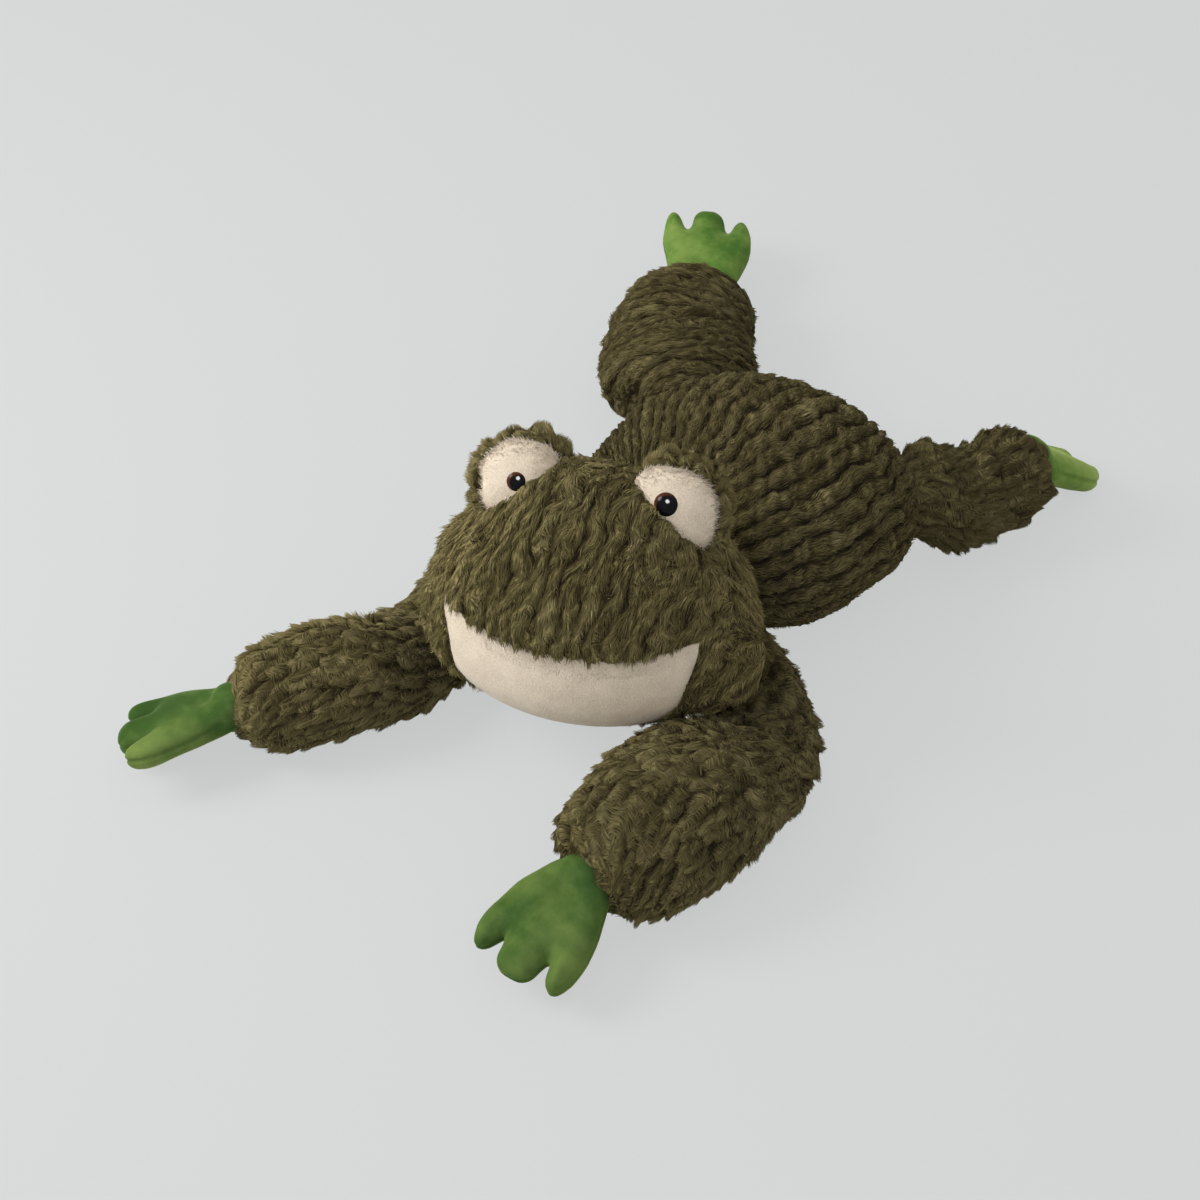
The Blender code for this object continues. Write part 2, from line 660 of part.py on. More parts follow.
def make_head():
    grown = head_form("grown", -GAP, HEAD_SIDES, HEAD_RINGS)
    skin = head_form("head_skin", 0, HEAD_SIDES, HEAD_RINGS)
    chin = head_form("chin_panel", 0, HEAD_SIDES, HEAD_RINGS)
    hollow = head_form("hollow", SKIN, CORE_SIDES, CORE_RINGS)
    carve(chin, hollow, keep=True)
    carve(skin, sphere("ball", neck_place(), NECK_RADIUS), "UNION")
    carve(hollow, sphere("core", neck_place(), NECK_RADIUS - SKIN), "UNION")
    carve(skin, hollow)
    carve(skin, chin_cutter("chin_room", GAP))
    carve(chin, chin_cutter("chin_edge", 0), "INTERSECT")
    towards = (Vector((0, 0, NECK_RISE)) - neck_place()).to_track_quat("Z", "Y").to_matrix().to_4x4()
    neck_frame = Matrix.Translation(neck_place()) @ towards
    carve(skin, peg("neck_hole", NECK_MOUTH, 0, NECK_RADIUS + OVERRUN, neck_frame))
    filling = head_form("head_filling", SKIN + GAP, CORE_SIDES, CORE_RINGS)
    carve(filling, sphere("stub", neck_place(), NECK_RADIUS - SKIN - GAP), "UNION")
    pieces = [paint(skin, "head_skin", OLIVE), paint(chin, "chin_panel", CREAM),
              paint(filling, "head_filling", WHITE)]
    for side, word in ((-1, "right"), (1, "left")):
        pieces += make_eye(side, word, grown)
    bpy.data.objects.remove(grown)
    return pieces


def chin_cutter(name, grow):
    """Prism along the head's depth with the chin's outline as seen from the front."""
    upper = []
    lower = []
    for k in range(MOUTH_STEPS + 1):
        x = MOUTH_REACH * (2 * k / MOUTH_STEPS - 1)
        bow = sqrt(max(0, 1 - (x / MOUTH_REACH) ** 2))
        spread = x * (1 + grow / MOUTH_REACH)
        upper.append((spread, mouth_line(x) + grow))
        lower.append((spread, mouth_line(x) - grow - (MOUTH_RISE + CHIN_DROP) * bow))
    outline = upper + lower[-2:0:-1]
    bm = bmesh.new()
    verts = [bm.verts.new((x, -HEAD_FRONT - OVERRUN, z)) for x, z in outline]
    face = bm.faces.new(verts)
    grown = bmesh.ops.extrude_face_region(bm, geom=[face])
    moved = [item for item in grown["geom"] if isinstance(item, bmesh.types.BMVert)]
    bmesh.ops.translate(bm, verts=moved, vec=(0, HEAD_FRONT + OVERRUN, 0))
    bmesh.ops.transform(bm, matrix=head_matrix(), verts=bm.verts)
    return to_object(name, bm)


def make_eye(side, word, grown):
    """Hood, cream patch, stuffing, safety eye and washer of one mound."""
    frame = eye_matrix(side)
    centre = head_matrix() @ mound_place(side)
    facing = (head_matrix().to_3x3() @ patch_side(side)).normalized()
    edge = centre + facing * PATCH_OFFSET
    size = HEAD_HALF_WIDTH * 2

    hood = mound_form("hood", side, 0)
    carve(hood, mound_form("hollow", side, SKIN))
    carve(hood, grown, keep=True)
    carve(hood, half_space("front", edge, facing, size))

    patch = mound_form("patch", side, 0)
    carve(patch, mound_form("hollow", side, FELT))
    carve(patch, grown, keep=True)
    carve(patch, half_space("front", edge + facing * GAP, facing, size), "INTERSECT")
    carve(patch, peg("hole", SHANK_RADIUS + GAP, -OVERRUN, OVERRUN, frame))

    stuffing = mound_form("stuffing", side, SKIN + GAP)
    carve(stuffing, grown, keep=True)
    seat_depth = FELT + WASHER_SEAT
    step_depth = seat_depth + WASHER_THICK
    wide = WASHER_RADIUS + GAP
    narrow = SHANK_RADIUS + GAP
    bore = [(0, OVERRUN), (wide, OVERRUN), (wide, -step_depth - GAP), (narrow, -step_depth - GAP),
            (narrow, -SHANK_LENGTH - GAP), (0, -SHANK_LENGTH - GAP)]
    carve(stuffing, turned("bore", bore, EYE_STEPS, frame))

    eye = turned("eye", eye_profile(), EYE_STEPS, frame)
    ring = [(narrow, -seat_depth), (WASHER_RADIUS, -seat_depth), (WASHER_RADIUS, -step_depth),
            (narrow, -step_depth), (narrow, -seat_depth)]
    washer = turned("washer", ring, EYE_STEPS, frame)
    return [paint(hood, "eye_hood_" + word, OLIVE), paint(patch, "eye_patch_" + word, CREAM),
            paint(stuffing, "eye_stuffing_" + word, WHITE), paint(eye, "eye_" + word, BLACK, 0.05),
            paint(washer, "eye_washer_" + word, WHITE, 0.4)]


def make_sleeve(limb, joint_ball):
    skin = limb.form("sleeve", 0, LIMB_SIDES, 0)
    carve(skin, limb.form("hollow", SKIN, CORE_LIMB_SIDES, SKIN))
    filling = limb.form("filling", SKIN, CORE_LIMB_SIDES, SKIN, SLACK)
    for piece in (skin, filling):
        carve(piece, room("socket", limb.end_place(), joint_ball + GAP))
    return [paint(skin, limb.name + "_sleeve", OLIVE), paint(filling, limb.name + "_filling", WHITE)]


def paw_frame(limb, droop, roll, turn):
    """Frame of a paw at its joint, +Y to the toes and +Z out of its back."""
    flat = Matrix.Rotation(turn, 3, "Z") @ limb.end_way()
    ahead = Vector((flat.x * cos(droop), flat.y * cos(droop), -sin(droop)))
    across = ahead.cross(Vector((0, 0, 1))).normalized()
    up = across.cross(ahead)
    axes = Matrix((across, ahead, up)).transposed().to_4x4()
    return Matrix.Translation(limb.end_place()) @ axes @ Matrix.Rotation(roll, 4, "Y")


def make_paw(limb, length, width, ball, pose):
    """Top and sole panels and the filling of one hand or foot."""
    place = paw_frame(limb, *pose)
    up = place.to_3x3() @ Vector((0, 0, 1))
    size = 4 * length

    shell = paw_form("shell", length, width, ball, 0, place)
    carve(shell, paw_form("hollow", length, width, ball, FELT, place))
    top = bpy.data.objects.new("top", shell.data.copy())
    bpy.context.scene.collection.objects.link(top)
    carve(top, half_space("upper", limb.end_place() + up * GAP / 2, up, size), "INTERSECT")
    carve(shell, half_space("lower", limb.end_place() - up * GAP / 2, -up, size), "INTERSECT")
    filling = paw_form("filling", length, width, ball, FELT, place, SLACK)
    name = limb.paw
    return [paint(top, name + "_top", GREEN), paint(shell, name + "_sole", GREEN),
            paint(filling, name + "_filling", WHITE)]


def build():
    clear_scene()
    arm_right, arm_left, leg_right, leg_left = make_limbs()
    pieces = make_torso((arm_right, arm_left, leg_right, leg_left))
    torso = group("torso", Vector((0, 0, 0)), pieces)

    head_way = head_matrix().translation - neck_place()
    thread = seam_thread("neck_thread", neck_place(), head_way, NECK_RADIUS)
    neck_ring = group("neck_turn", neck_place(), [thread], torso)
    group("neck_nod", neck_place(), make_head(), neck_ring)

    for limb, pose in ((arm_right, HAND_RIGHT_POSE), (arm_left, HAND_LEFT_POSE)):
        arm = group(limb.name, limb.root, make_sleeve(limb, WRIST_BALL), torso)
        hand = make_paw(limb, HAND_LENGTH, HAND_WIDTH, WRIST_BALL, pose)
        group(limb.paw, limb.end_place(), hand, arm)
    for limb, pose in ((leg_right, FOOT_RIGHT_POSE), (leg_left, FOOT_LEFT_POSE)):
        way = limb.end_place() - limb.root
        way.z = 0
        thread = seam_thread(limb.name + "_thread", limb.root, way, limb.ball)
        ring = group(limb.name + "_swing", limb.root, [thread], torso)
        leg = group(limb.name, limb.root, make_sleeve(limb, ANKLE_BALL), ring)
        foot = make_paw(limb, FOOT_LENGTH, FOOT_WIDTH, ANKLE_BALL, pose)
        group(limb.paw, limb.end_place(), foot, leg)


build()
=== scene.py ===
import bpy
import bmesh
import numpy as np
from math import asin, atan2, cos, exp, pi, radians, sin, sqrt
from mathutils import Matrix, Vector, noise


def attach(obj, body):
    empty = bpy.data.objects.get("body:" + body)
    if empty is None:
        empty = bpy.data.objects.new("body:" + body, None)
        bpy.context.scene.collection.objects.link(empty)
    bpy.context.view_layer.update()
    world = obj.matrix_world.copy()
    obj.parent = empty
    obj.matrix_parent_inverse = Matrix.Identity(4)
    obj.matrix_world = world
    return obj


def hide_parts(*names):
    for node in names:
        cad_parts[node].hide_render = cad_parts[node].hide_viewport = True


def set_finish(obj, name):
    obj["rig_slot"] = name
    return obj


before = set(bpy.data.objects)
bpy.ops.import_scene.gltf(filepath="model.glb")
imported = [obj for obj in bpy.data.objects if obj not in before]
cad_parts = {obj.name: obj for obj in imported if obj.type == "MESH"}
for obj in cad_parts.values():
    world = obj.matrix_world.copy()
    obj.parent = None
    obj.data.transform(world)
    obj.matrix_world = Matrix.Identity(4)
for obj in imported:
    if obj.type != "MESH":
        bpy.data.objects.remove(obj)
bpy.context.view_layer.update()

mm = 0.001
floorGap = 0.4 * mm  # cloth keeps this far off the floor
clothLayers = ("rib", "crest", "clump", "tone", "lock")

# Colours, as linear values. Olive and green each run from painted shade (groove, low; deep) to
# painted light (tip; light, a painted sheen)
olive = dict(groove=(0.02, 0.013, 0.004), low=(0.066, 0.05, 0.015),
             body=(0.15, 0.121, 0.042), tip=(0.3, 0.252, 0.112))
cream = dict(low=(0.46, 0.35, 0.25), body=(0.7, 0.595, 0.455), tip=(0.83, 0.745, 0.62))
green = dict(deep=(0.028, 0.078, 0.009), body=(0.085, 0.175, 0.026), light=(0.25, 0.32, 0.08))
pale = (0.66, 0.675, 0.67)


# Shader wiring: sums are written as expressions, and every other node comes from Look.node
def calc(operation, turned=False):
    def wired(self, other):
        first, second = (other, self) if turned else (self, other)
        return self.look.node("ShaderNodeMath", dict(operation=operation), {0: first, 1: second})
    return wired


class Wire:
    def __init__(self, look, socket):
        self.look, self.socket = look, socket

    __add__, __radd__ = calc("ADD"), calc("ADD", True)
    __sub__, __rsub__ = calc("SUBTRACT"), calc("SUBTRACT", True)
    __mul__, __rmul__ = calc("MULTIPLY"), calc("MULTIPLY", True)


class Look:
    def __init__(self, name, roughness, **constants):
        self.material = bpy.data.materials.new(name)
        self.material.use_nodes = True
        self.tree = self.material.node_tree
        self.shader = self.tree.nodes["Principled BSDF"]
        self.shader.inputs["Roughness"].default_value = roughness
        for label, value in constants.items():
            self.shader.inputs[label.replace("_", " ")].default_value = value

    def node(self, kind, settings=None, values=None, output=0):
        made = self.tree.nodes.new(kind)
        for label, value in (settings or {}).items():
            setattr(made, label, value)
        for label, value in (values or {}).items():
            if isinstance(value, Wire):
                self.tree.links.new(value.socket, made.inputs[label])
            else:
                made.inputs[label].default_value = value
        return Wire(self, made.outputs[output])

    def mix(self, factor, first, second):
        first, second = [(*shade, 1) if isinstance(shade, tuple) else shade
                         for shade in (first, second)]
        settings = dict(data_type="RGBA", clamp_factor=True)
        return self.node("ShaderNodeMix", settings, {0: factor, 6: first, 7: second}, 2)

    def attribute(self, name):
        return self.node("ShaderNodeAttribute", dict(attribute_name=name), output="Fac")

    def grain(self, scale, detail=2.0, spot=None):
        spot = spot or self.node("ShaderNodeTexCoord", output="Object")
        values = {"Vector": spot, "Scale": scale, "Detail": detail}
        return self.node("ShaderNodeTexNoise", None, values)

    def colour(self, wire):
        self.tree.links.new(wire.socket, self.shader.inputs["Base Color"])

    def bump(self, height, strength, distance):
        made = self.node("ShaderNodeBump", None,
                         {"Height": height, "Strength": strength, "Distance": distance})
        self.tree.links.new(made.socket, self.shader.inputs["Normal"])


# Pile cloth: painted shade in the grooves and at the roots of its locks, painted light on the crests
# and tips, streaked along the lie of its hair
def clothShade(look, shades, lift, sharp):
    crest, clump, tone = (look.attribute(name) for name in ("crest", "clump", "tone"))
    patch = look.grain(38)
    depth = look.mix(crest * 1.3 - 0.1 + lift, shades["groove"], shades["low"])
    rise = crest * (clump * 0.9 + 0.25) + patch * 0.7 - 0.46 + lift
    lit = look.mix(rise * 1.3, depth, shades["body"])
    return look.mix(rise * sharp * tone, lit, shades["tip"])


# A lighter or darker copy of a set of shades, for painted light or shade on one part
def scaled(shades, share):
    return {label: tuple(c * share for c in colour) for label, colour in shades.items()}


def pileLook(name, shades):
    look = Look(name, 0.9, Specular_IOR_Level=0.05, Sheen_Weight=0.08, Sheen_Roughness=0.5,
                Sheen_Tint=(*shades["tip"], 1))
    # Painted shade down in the pile: each tuft is darker at its root and lighter at its tip
    shade = clothShade(look, shades, look.attribute("pile") * 0.5 - 0.14, 1.0)
    look.colour(look.mix(look.attribute("strand") * 1.5 + 0.25, shades["low"], shade))
    return look.material


# Backing of the pile, seen between its tufts, with painted shade in its grooves and between its
# streaks of hair
def backingLook(name, shades):
    look = Look(name, 0.95, Specular_IOR_Level=0.05)
    across = look.attribute("rib") * 26
    along = look.attribute("run") * 190
    spot = look.node("ShaderNodeCombineXYZ", None, {"X": across, "Y": along})
    streak = look.grain(1.0, spot=spot)
    shade = clothShade(look, shades, streak * 1.8 - 1.0, 0.9)
    look.colour(look.mix(streak * 3.0 - 0.8, shades["groove"], shade))
    look.bump(streak, 1.0, 0.0016)
    return look.material


# Short smooth pile of the chin and the eye patches
def velboaLook(name, shades):
    look = Look(name, 0.9, Specular_IOR_Level=0.05, Sheen_Weight=0.2, Sheen_Roughness=0.45)
    cloud = look.grain(110, 3)
    fuzz = look.grain(1500, 2)
    shade = look.mix(cloud * 1.2 - 0.1, shades["low"], shades["body"])
    look.colour(look.mix(fuzz * 1.4 - 0.35, shade, shades["tip"]))
    look.bump(cloud * 0.6 + fuzz * 0.5, 0.6, 0.0012)
    return look.material


# Velour of the hands and feet, brushed in patches that are painted as lighter sheen and darker
# shade, with painted shade along the seam
def velourLook(name, share):
    tones = scaled(green, share)
    look = Look(name, 0.8, Specular_IOR_Level=0.08, Sheen_Weight=0.4, Sheen_Roughness=0.3,
                Sheen_Tint=(0.62, 0.72, 0.28, 1))
    brushedSheen = look.grain(17, 1.5)
    streak = look.grain(170, 3)
    fuzz = look.grain(1800, 1)
    # Brushed patches of painted shade (deep) and painted sheen (light)
    shade = look.mix(brushedSheen * 2.4 - 0.85 + streak * 0.2, tones["deep"], tones["body"])
    lit = look.mix(brushedSheen * 2.6 + streak * 0.6 + fuzz * 0.2 - 1.5, shade, tones["light"])
    # Painted shade in the seam's groove
    look.colour(look.mix(look.attribute("seam"), lit, tones["deep"]))
    look.bump(streak * 0.5 + fuzz * 0.5, 0.35, 0.0006)
    return look.material


def eyeLook(name):
    look = Look(name, 0.1, Specular_IOR_Level=0.12)
    look.colour(look.mix(look.attribute("iris"), (0.003, 0.003, 0.004), (0.07, 0.022, 0.008)))
    return look.material


def threadLook(name, colour):
    look = Look(name, 0.8, Specular_IOR_Level=0.2)
    twist = look.grain(1800, 1)
    look.colour(look.mix(twist, tuple(c * 0.6 for c in colour), colour))
    look.bump(twist, 0.4, 0.0004)
    return look.material


def ripple(*spot):
    return noise.noise(Vector(spot))


def eased(share):
    return share * share * (3 - 2 * share)


def latitude(unit):
    return asin(max(-1, min(1, unit.z)))


def newLayer(bm, name):
    return bm.verts.layers.float.new(name)


def turnOut(bm):
    bmesh.ops.recalc_face_normals(bm, faces=bm.faces)


def addObject(name, data):
    made = bpy.data.objects.new(name, data)
    bpy.context.scene.collection.objects.link(made)
    return made


def meshFrom(name, bm):
    mesh = bpy.data.meshes.new(name)
    bm.to_mesh(mesh)
    bm.free()
    return mesh


# Finished piece: one object at the origin, smooth, with its material
def finishPiece(name, bm, look, body, replaces):
    mesh = meshFrom(name, bm)
    mesh.shade_smooth()
    piece = addObject(name, mesh)
    mesh.materials.append(looks[look])
    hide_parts(*replaces)
    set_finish(piece, replaces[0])
    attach(piece, body)
    return piece


# Petals of cloth that lap each other, at places counted in petals along a row (u) and in rows (v):
# how high the topmost one is there, its number, and how light it is
def petalField(u, v, petal, seed):
    table = np.random.default_rng(seed).random((64, 64, 4))
    best, owner, light = (np.zeros(len(u)) for _ in range(3))
    for row in (-1, 0, 1):
        for column in (-1, 0, 1):
            j = np.floor(v) + row
            i = np.floor(u - 0.5 * (j % 2)) + column
            chance = table[i.astype(int) % 64, j.astype(int) % 64]
            across = u - i - 0.5 * (j % 2) - 0.5 - petal["jitter"] * (chance[:, 0] - 0.5)
            along = v - j - petal["jitter"] * chance[:, 1]
            tilt = (chance[:, 2] - 0.5) * petal["tilt"]
            across, along = (across * np.cos(tilt) - along * np.sin(tilt),
                             along * np.cos(tilt) + across * np.sin(tilt))
            share = np.clip((along + 0.45) / petal["length"], 0, 1)
            wide = petal["wide"] * (share + 0.25) ** 0.5 * (1 - share) ** 0.6 + 1e-6
            crown = np.sqrt(np.clip(1 - (across / wide) ** 2, 0, 1))
            high = ((0.3 + 0.7 * share ** 0.8) * crown * np.clip((1 - share) / 0.12, 0, 1)
                    + 0.2 * (chance[:, 3] - 0.5))
            wins = (high > best) & (share > 0) & (share < 1)
            best = np.where(wins, high, best)
            owner = np.where(wins, (j % 900) * 900 + i % 900 + 0.5, owner)
            light = np.where(wins, chance[:, 3], light)
    return np.minimum(best, 1), owner, light


# Press the cloth's ribs, or its petals, into a form, and let the stuffing lump it. A vertex's rib
# counts the ribs up to it, and its run is the way along them. The other layers are for the pile.
def dressForm(bm, cloth, seed):
    layers = bm.verts.layers.float
    rib, run, calm = layers["rib"], layers["run"], layers.get("calm")
    crest, clump, tone, lock = (newLayer(bm, label) for label in clothLayers[1:])
    if bm.calc_volume(signed=True) < 0:
        bmesh.ops.reverse_faces(bm, faces=bm.faces)
    bm.normal_update()
    drift = Vector((seed * 7.3, seed * 3.1, seed * 5.7))
    petals = cloth.get("petals")
    for vert in bm.verts:
        s = vert[run]
        sway = ripple(vert[rib] * 0.6, s / (17 * mm), seed)
        sway += 0.5 * ripple(vert[rib] * 1.3, s / (6 * mm), seed + 5)
        vert[rib] += sway * cloth["sway"]
    if petals:
        rows = np.array([(vert[run] / petals["across"], vert[rib] * petals["rows"])
                         for vert in bm.verts])
        fields = petalField(rows[:, 0], rows[:, 1], petals, seed)
    for number, vert in enumerate(bm.verts):
        s = vert[run]
        index = int(np.floor(vert[rib]))
        off = vert[rib] - index - 0.5
        strand = ripple(off * 8, s / (5 * mm), index * 5.1 + seed)
        if petals:
            best, beat, light = (float(field[number]) for field in fields)
            high, twist = 0.35 + 0.65 * best, best
            shine = 0.45 + 0.5 * light + 0.3 * strand
            press = cloth["tuft"] * (1 - best)
        else:
            beat = (s / cloth["twist"] + off * cloth["slant"]
                    + ripple(index * 3.7, s / (14 * mm), 0) * 1.6)
            place = beat - np.floor(beat)
            cell = ripple(index * 9.17 + 0.5, np.floor(beat) * 4.31 + 0.5, seed)
            part = min(1, place / 0.7) ** 0.6 * min(1, (1 - place) / 0.22) ** 0.5
            groove = ripple(np.floor(vert[rib] + 0.5) * 5.3, s / (9 * mm), seed + 9)
            high = 1 - 4 * off * off * min(1, max(cloth["close"], 0.85 + groove * 1.1))
            twist = part * (0.85 + cloth["mottle"] * cell) + strand * 0.35
            shine = 0.55 + 1.2 * cloth["mottle"] * cell + 0.3 * strand
            press = (cloth["depth"] * (1 - high ** 0.7)
                     + cloth["tuft"] * (1 - twist) * (0.35 + 0.65 * high))
        # crest and clump carry painted shade: darker in the grooves and where a lock or petal starts
        # under the one before it, lighter on the crests and tips; tone is random
        vert[lock] = beat
        vert[crest] = high
        vert[clump] = min(1, max(0, twist))
        vert[tone] = shine
        swell = ripple(*(vert.co / cloth["lumpSize"] + drift)) * cloth["lump"]
        rise = swell - press + cloth["full"]
        vert.co += vert.normal * (rise * (1 - vert[calm]) if calm else rise)
        vert.co.z = max(vert.co.z, floorGap)


# Short-pile cloth has no relief
def plainCloth(bm):
    for label in clothLayers[1:]:
        layer = newLayer(bm, label)
        for vert in bm.verts:
            vert[layer] = 0.9


# One tuft, as a three-sided spike along Z
def makeTuft():
    bm = bmesh.new()
    bmesh.ops.create_cone(bm, cap_ends=True, segments=3, radius1=1, radius2=0, depth=1,
                          matrix=Matrix.Translation((0, 0, 0.5)))
    bmesh.ops.remove_doubles(bm, verts=bm.verts, dist=1e-4)
    turnOut(bm)
    bm.verts.index_update()
    verts = np.array([vert.co for vert in bm.verts])
    faces = [[vert.index for vert in face.verts] for face in bm.faces]
    bm.free()
    return verts, faces


tuftVerts, tuftFaces = makeTuft()


def unitRows(rows):
    return rows / np.maximum(np.linalg.norm(rows, axis=1, keepdims=True), 1e-9)


# Even random places on a mesh, with its normal, the cloth's values, the way across its ribs, and
# the lock of the nearest corner as a key that isn't blended
def scatter(base, count, rng):
    mesh = base.data
    mesh.calc_loop_triangles()
    corners = np.array([t.vertices for t in mesh.loop_triangles])
    spots = np.array([v.co for v in mesh.vertices])
    normals = np.array([v.normal for v in mesh.vertices])
    values = {}
    for label in clothLayers:
        values[label] = np.zeros(len(spots))
        mesh.attributes[label].data.foreach_get("value", values[label])
    a, b, c = spots[corners[:, 0]], spots[corners[:, 1]], spots[corners[:, 2]]
    square = np.cross(b - a, c - a)
    area = np.linalg.norm(square, axis=1) / 2
    flat = unitRows(square)
    rib = values["rib"][corners]
    rise = (rib[:, :1] * np.cross(flat, c - b) + rib[:, 1:2] * np.cross(flat, a - c)
            + rib[:, 2:] * np.cross(flat, b - a))
    reach = np.cumsum(area)
    picks = np.searchsorted(reach, (np.arange(count) + rng.random(count)) / count * reach[-1])
    picks = np.minimum(picks, len(area) - 1)
    one, two = rng.random(count), rng.random(count)
    flip = one + two > 1
    one[flip], two[flip] = 1 - one[flip], 1 - two[flip]
    weights = np.stack([1 - one - two, one, two], 1)
    blend = lambda table: np.einsum("nk...,nk->n...", table[corners[picks]], weights)
    nearest = corners[picks, weights.argmax(1)]
    return dict({label: blend(row) for label, row in values.items()}, root=blend(spots),
                key=values["lock"][nearest], normal=unitRows(blend(normals)),
                across=unitRows(rise[picks]))


# Mesh of one tuft for each row of points, with its shades as attributes and a map for baking
def tuftMesh(name, points, shades):
    count, step = points.shape[:2]
    sizes = np.array([len(face) for face in tuftFaces])
    loops = np.concatenate(tuftFaces)
    starts = np.concatenate([[0], np.cumsum(sizes)[:-1]])
    order = np.arange(count)
    mesh = bpy.data.meshes.new(name)
    mesh.vertices.add(count * step)
    mesh.loops.add(count * len(loops))
    mesh.polygons.add(count * len(sizes))
    mesh.vertices.foreach_set("co", points.ravel())
    mesh.loops.foreach_set("vertex_index", (loops[None] + order[:, None] * step).ravel())
    mesh.polygons.foreach_set("loop_start", (starts[None] + order[:, None] * len(loops)).ravel())
    mesh.update(calc_edges=True)
    for label, row in dict(pile=tuftVerts[:, 2], **shades).items():
        wide = row[None] if label == "pile" else row[:, None]
        mesh.attributes.new(label, "FLOAT", "POINT").data.foreach_set(
            "value", np.array(np.broadcast_to(wide, (count, step)), np.float32).ravel())

    cells = int(np.ceil(sqrt(count)))
    corner = np.stack([order % cells, order // cells], 1) / cells
    angle = np.arctan2(tuftVerts[loops, 1], tuftVerts[loops, 0]) / (2 * pi) + 0.5
    local = np.stack([0.1 + 0.8 * angle, 0.1 + 0.8 * tuftVerts[loops, 2]], 1) / cells
    mesh.uv_layers.new(name="OFBake").data.foreach_set(
        "uv", (corner[:, None] + local[None]).astype(np.float32).ravel())
    mesh.shade_smooth()
    return mesh


# Grow tufts on a base. The setting says how many, how long and wide, how far they stand up (lift),
# run along the rib, lie with the nap, fan off the crest and slant, and how wildly they stray. They
# gather into locks of a given reach, so many columns across a rib, each turned by unruly.
def growPile(base, setting, look, body, nap, keep=None, seed=1):
    rng = np.random.default_rng(seed)
    spots = scatter(base, setting["count"], rng)
    if keep is not None:
        held = keep(spots["root"], spots["normal"])
        spots = {label: row[held] for label, row in spots.items()}
    root, normal, across, rib = spots["root"], spots["normal"], spots["across"], spots["rib"]
    count = len(root)
    along = np.cross(normal, across)
    flow = np.array(Vector(nap).normalized())
    lay = unitRows(flow - normal * (normal @ flow)[:, None])
    along = along * np.where((along * lay).sum(1) < 0, -1, 1)[:, None]
    fan = ((2 * (rib - np.floor(rib)) - 1) * setting["fan"] + setting["slant"]
           + 0.6 * (spots["tone"] - 0.5))
    stray = rng.normal(size=(count, 3)) * setting["stray"]
    lift = setting["lift"] * (0.6 + 0.8 * rng.random(count))
    way = unitRows(along * setting["along"] + lay * setting["lay"] + across * fan[:, None]
                   + normal * lift[:, None] + stray)
    length = (setting["length"] * (0.55 + 0.6 * rng.random(count)) * (0.6 + 0.4 * spots["crest"])
              * (0.7 + 0.5 * spots["clump"]))
    width = setting["width"] * (0.7 + 0.6 * rng.random(count))
    shine = rng.random(count)
    if setting["gather"]:
        key = np.floor(rib * setting["columns"]) * 5000 + np.floor(spots["key"])
        cell = np.unique(key, return_inverse=True)[1]
        size = np.bincount(cell)
        mean = lambda rows: np.stack([np.bincount(cell, row) / size for row in rows.T], 1)[cell]
        lean = unitRows(mean(way) + rng.normal(size=(len(size), 3))[cell] * setting["unruly"])
        shine = 0.6 * shine + 0.4 * rng.random(len(size))[cell]
        stretch = setting["reach"] * (0.75 + 0.5 * rng.random(len(size))[cell])
        point = mean(root) + lean * stretch[:, None]
        tip = root + way * length[:, None]
        tip += (point - tip) * (setting["gather"] * (0.5 + 0.5 * rng.random(count)))[:, None]
        way = tip - root
        length = np.minimum(np.linalg.norm(way, axis=1), setting["reach"] * 1.6)
        way = unitRows(way)
    side = unitRows(np.cross(way, normal + 0.3 * stray))
    over = np.cross(side, way)

    shape = tuftVerts
    points = (root[:, None] - normal[:, None] * 0.5 * mm
              + way[:, None] * (length[:, None] * shape[:, 2])[..., None]
              + (side[:, None] * shape[None, :, 0, None] + over[:, None] * shape[None, :, 1, None])
              * (width / 2)[:, None, None])
    lowest = (0.3 + 0.6 * rng.random(count)) * mm
    points[..., 2] = np.maximum(points[..., 2], lowest[:, None])
    tone = 0.5 * spots["tone"] + 0.9 * rng.random(count) + 0.05
    # Strands take the painted shade of the cloth at their roots (crest, clump); strand and tone vary
    # at random
    shades = dict(strand=shine, tone=tone, crest=spots["crest"], clump=spots["clump"])
    name = base.name.replace("Plush", "Pile")
    mesh = tuftMesh(name, points, shades)
    piece = addObject(name, mesh)
    mesh.materials.append(looks[look])
    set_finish(piece, base["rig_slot"])
    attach(piece, body)


# A round form to shape, with its layers and a map for baking
def roundForm(sides, rings, radius=1.0, matrix=Matrix()):
    bm = bmesh.new()
    bm.loops.layers.uv.new("OFBake")
    bmesh.ops.create_uvsphere(bm, u_segments=sides, v_segments=rings, radius=radius, matrix=matrix,
                              calc_uvs=True)
    return bm, newLayer(bm, "rib"), newLayer(bm, "run")


# Body, lying on its belly
body = dict(front=62 * mm, back=74 * mm, halfWidth=79 * mm, height=90 * mm, lean=6 * mm,
            taper=0.1, endFull=0.45, topFull=0.7, bellyFull=0.8, flat=0.5 * mm, sides=360,
            rings=150, pitch=10.6 * mm, runRadius=68 * mm, fanFrom=-100 * mm, fanMiddle=25 * mm)
bodyCloth = dict(depth=4.6 * mm, tuft=2.2 * mm, twist=9.5 * mm, slant=1.2, sway=0.36, lump=2.8 * mm,
                 lumpSize=36 * mm, full=0.5 * mm, mottle=0.6, close=0.6)
bodyPile = dict(count=49000, length=3.8 * mm, width=0.75 * mm, lift=0.3, along=0.65, lay=0.05,
                fan=0.25, slant=0.35, stray=0.16, gather=0.55, reach=5 * mm, unruly=0.15, columns=1)


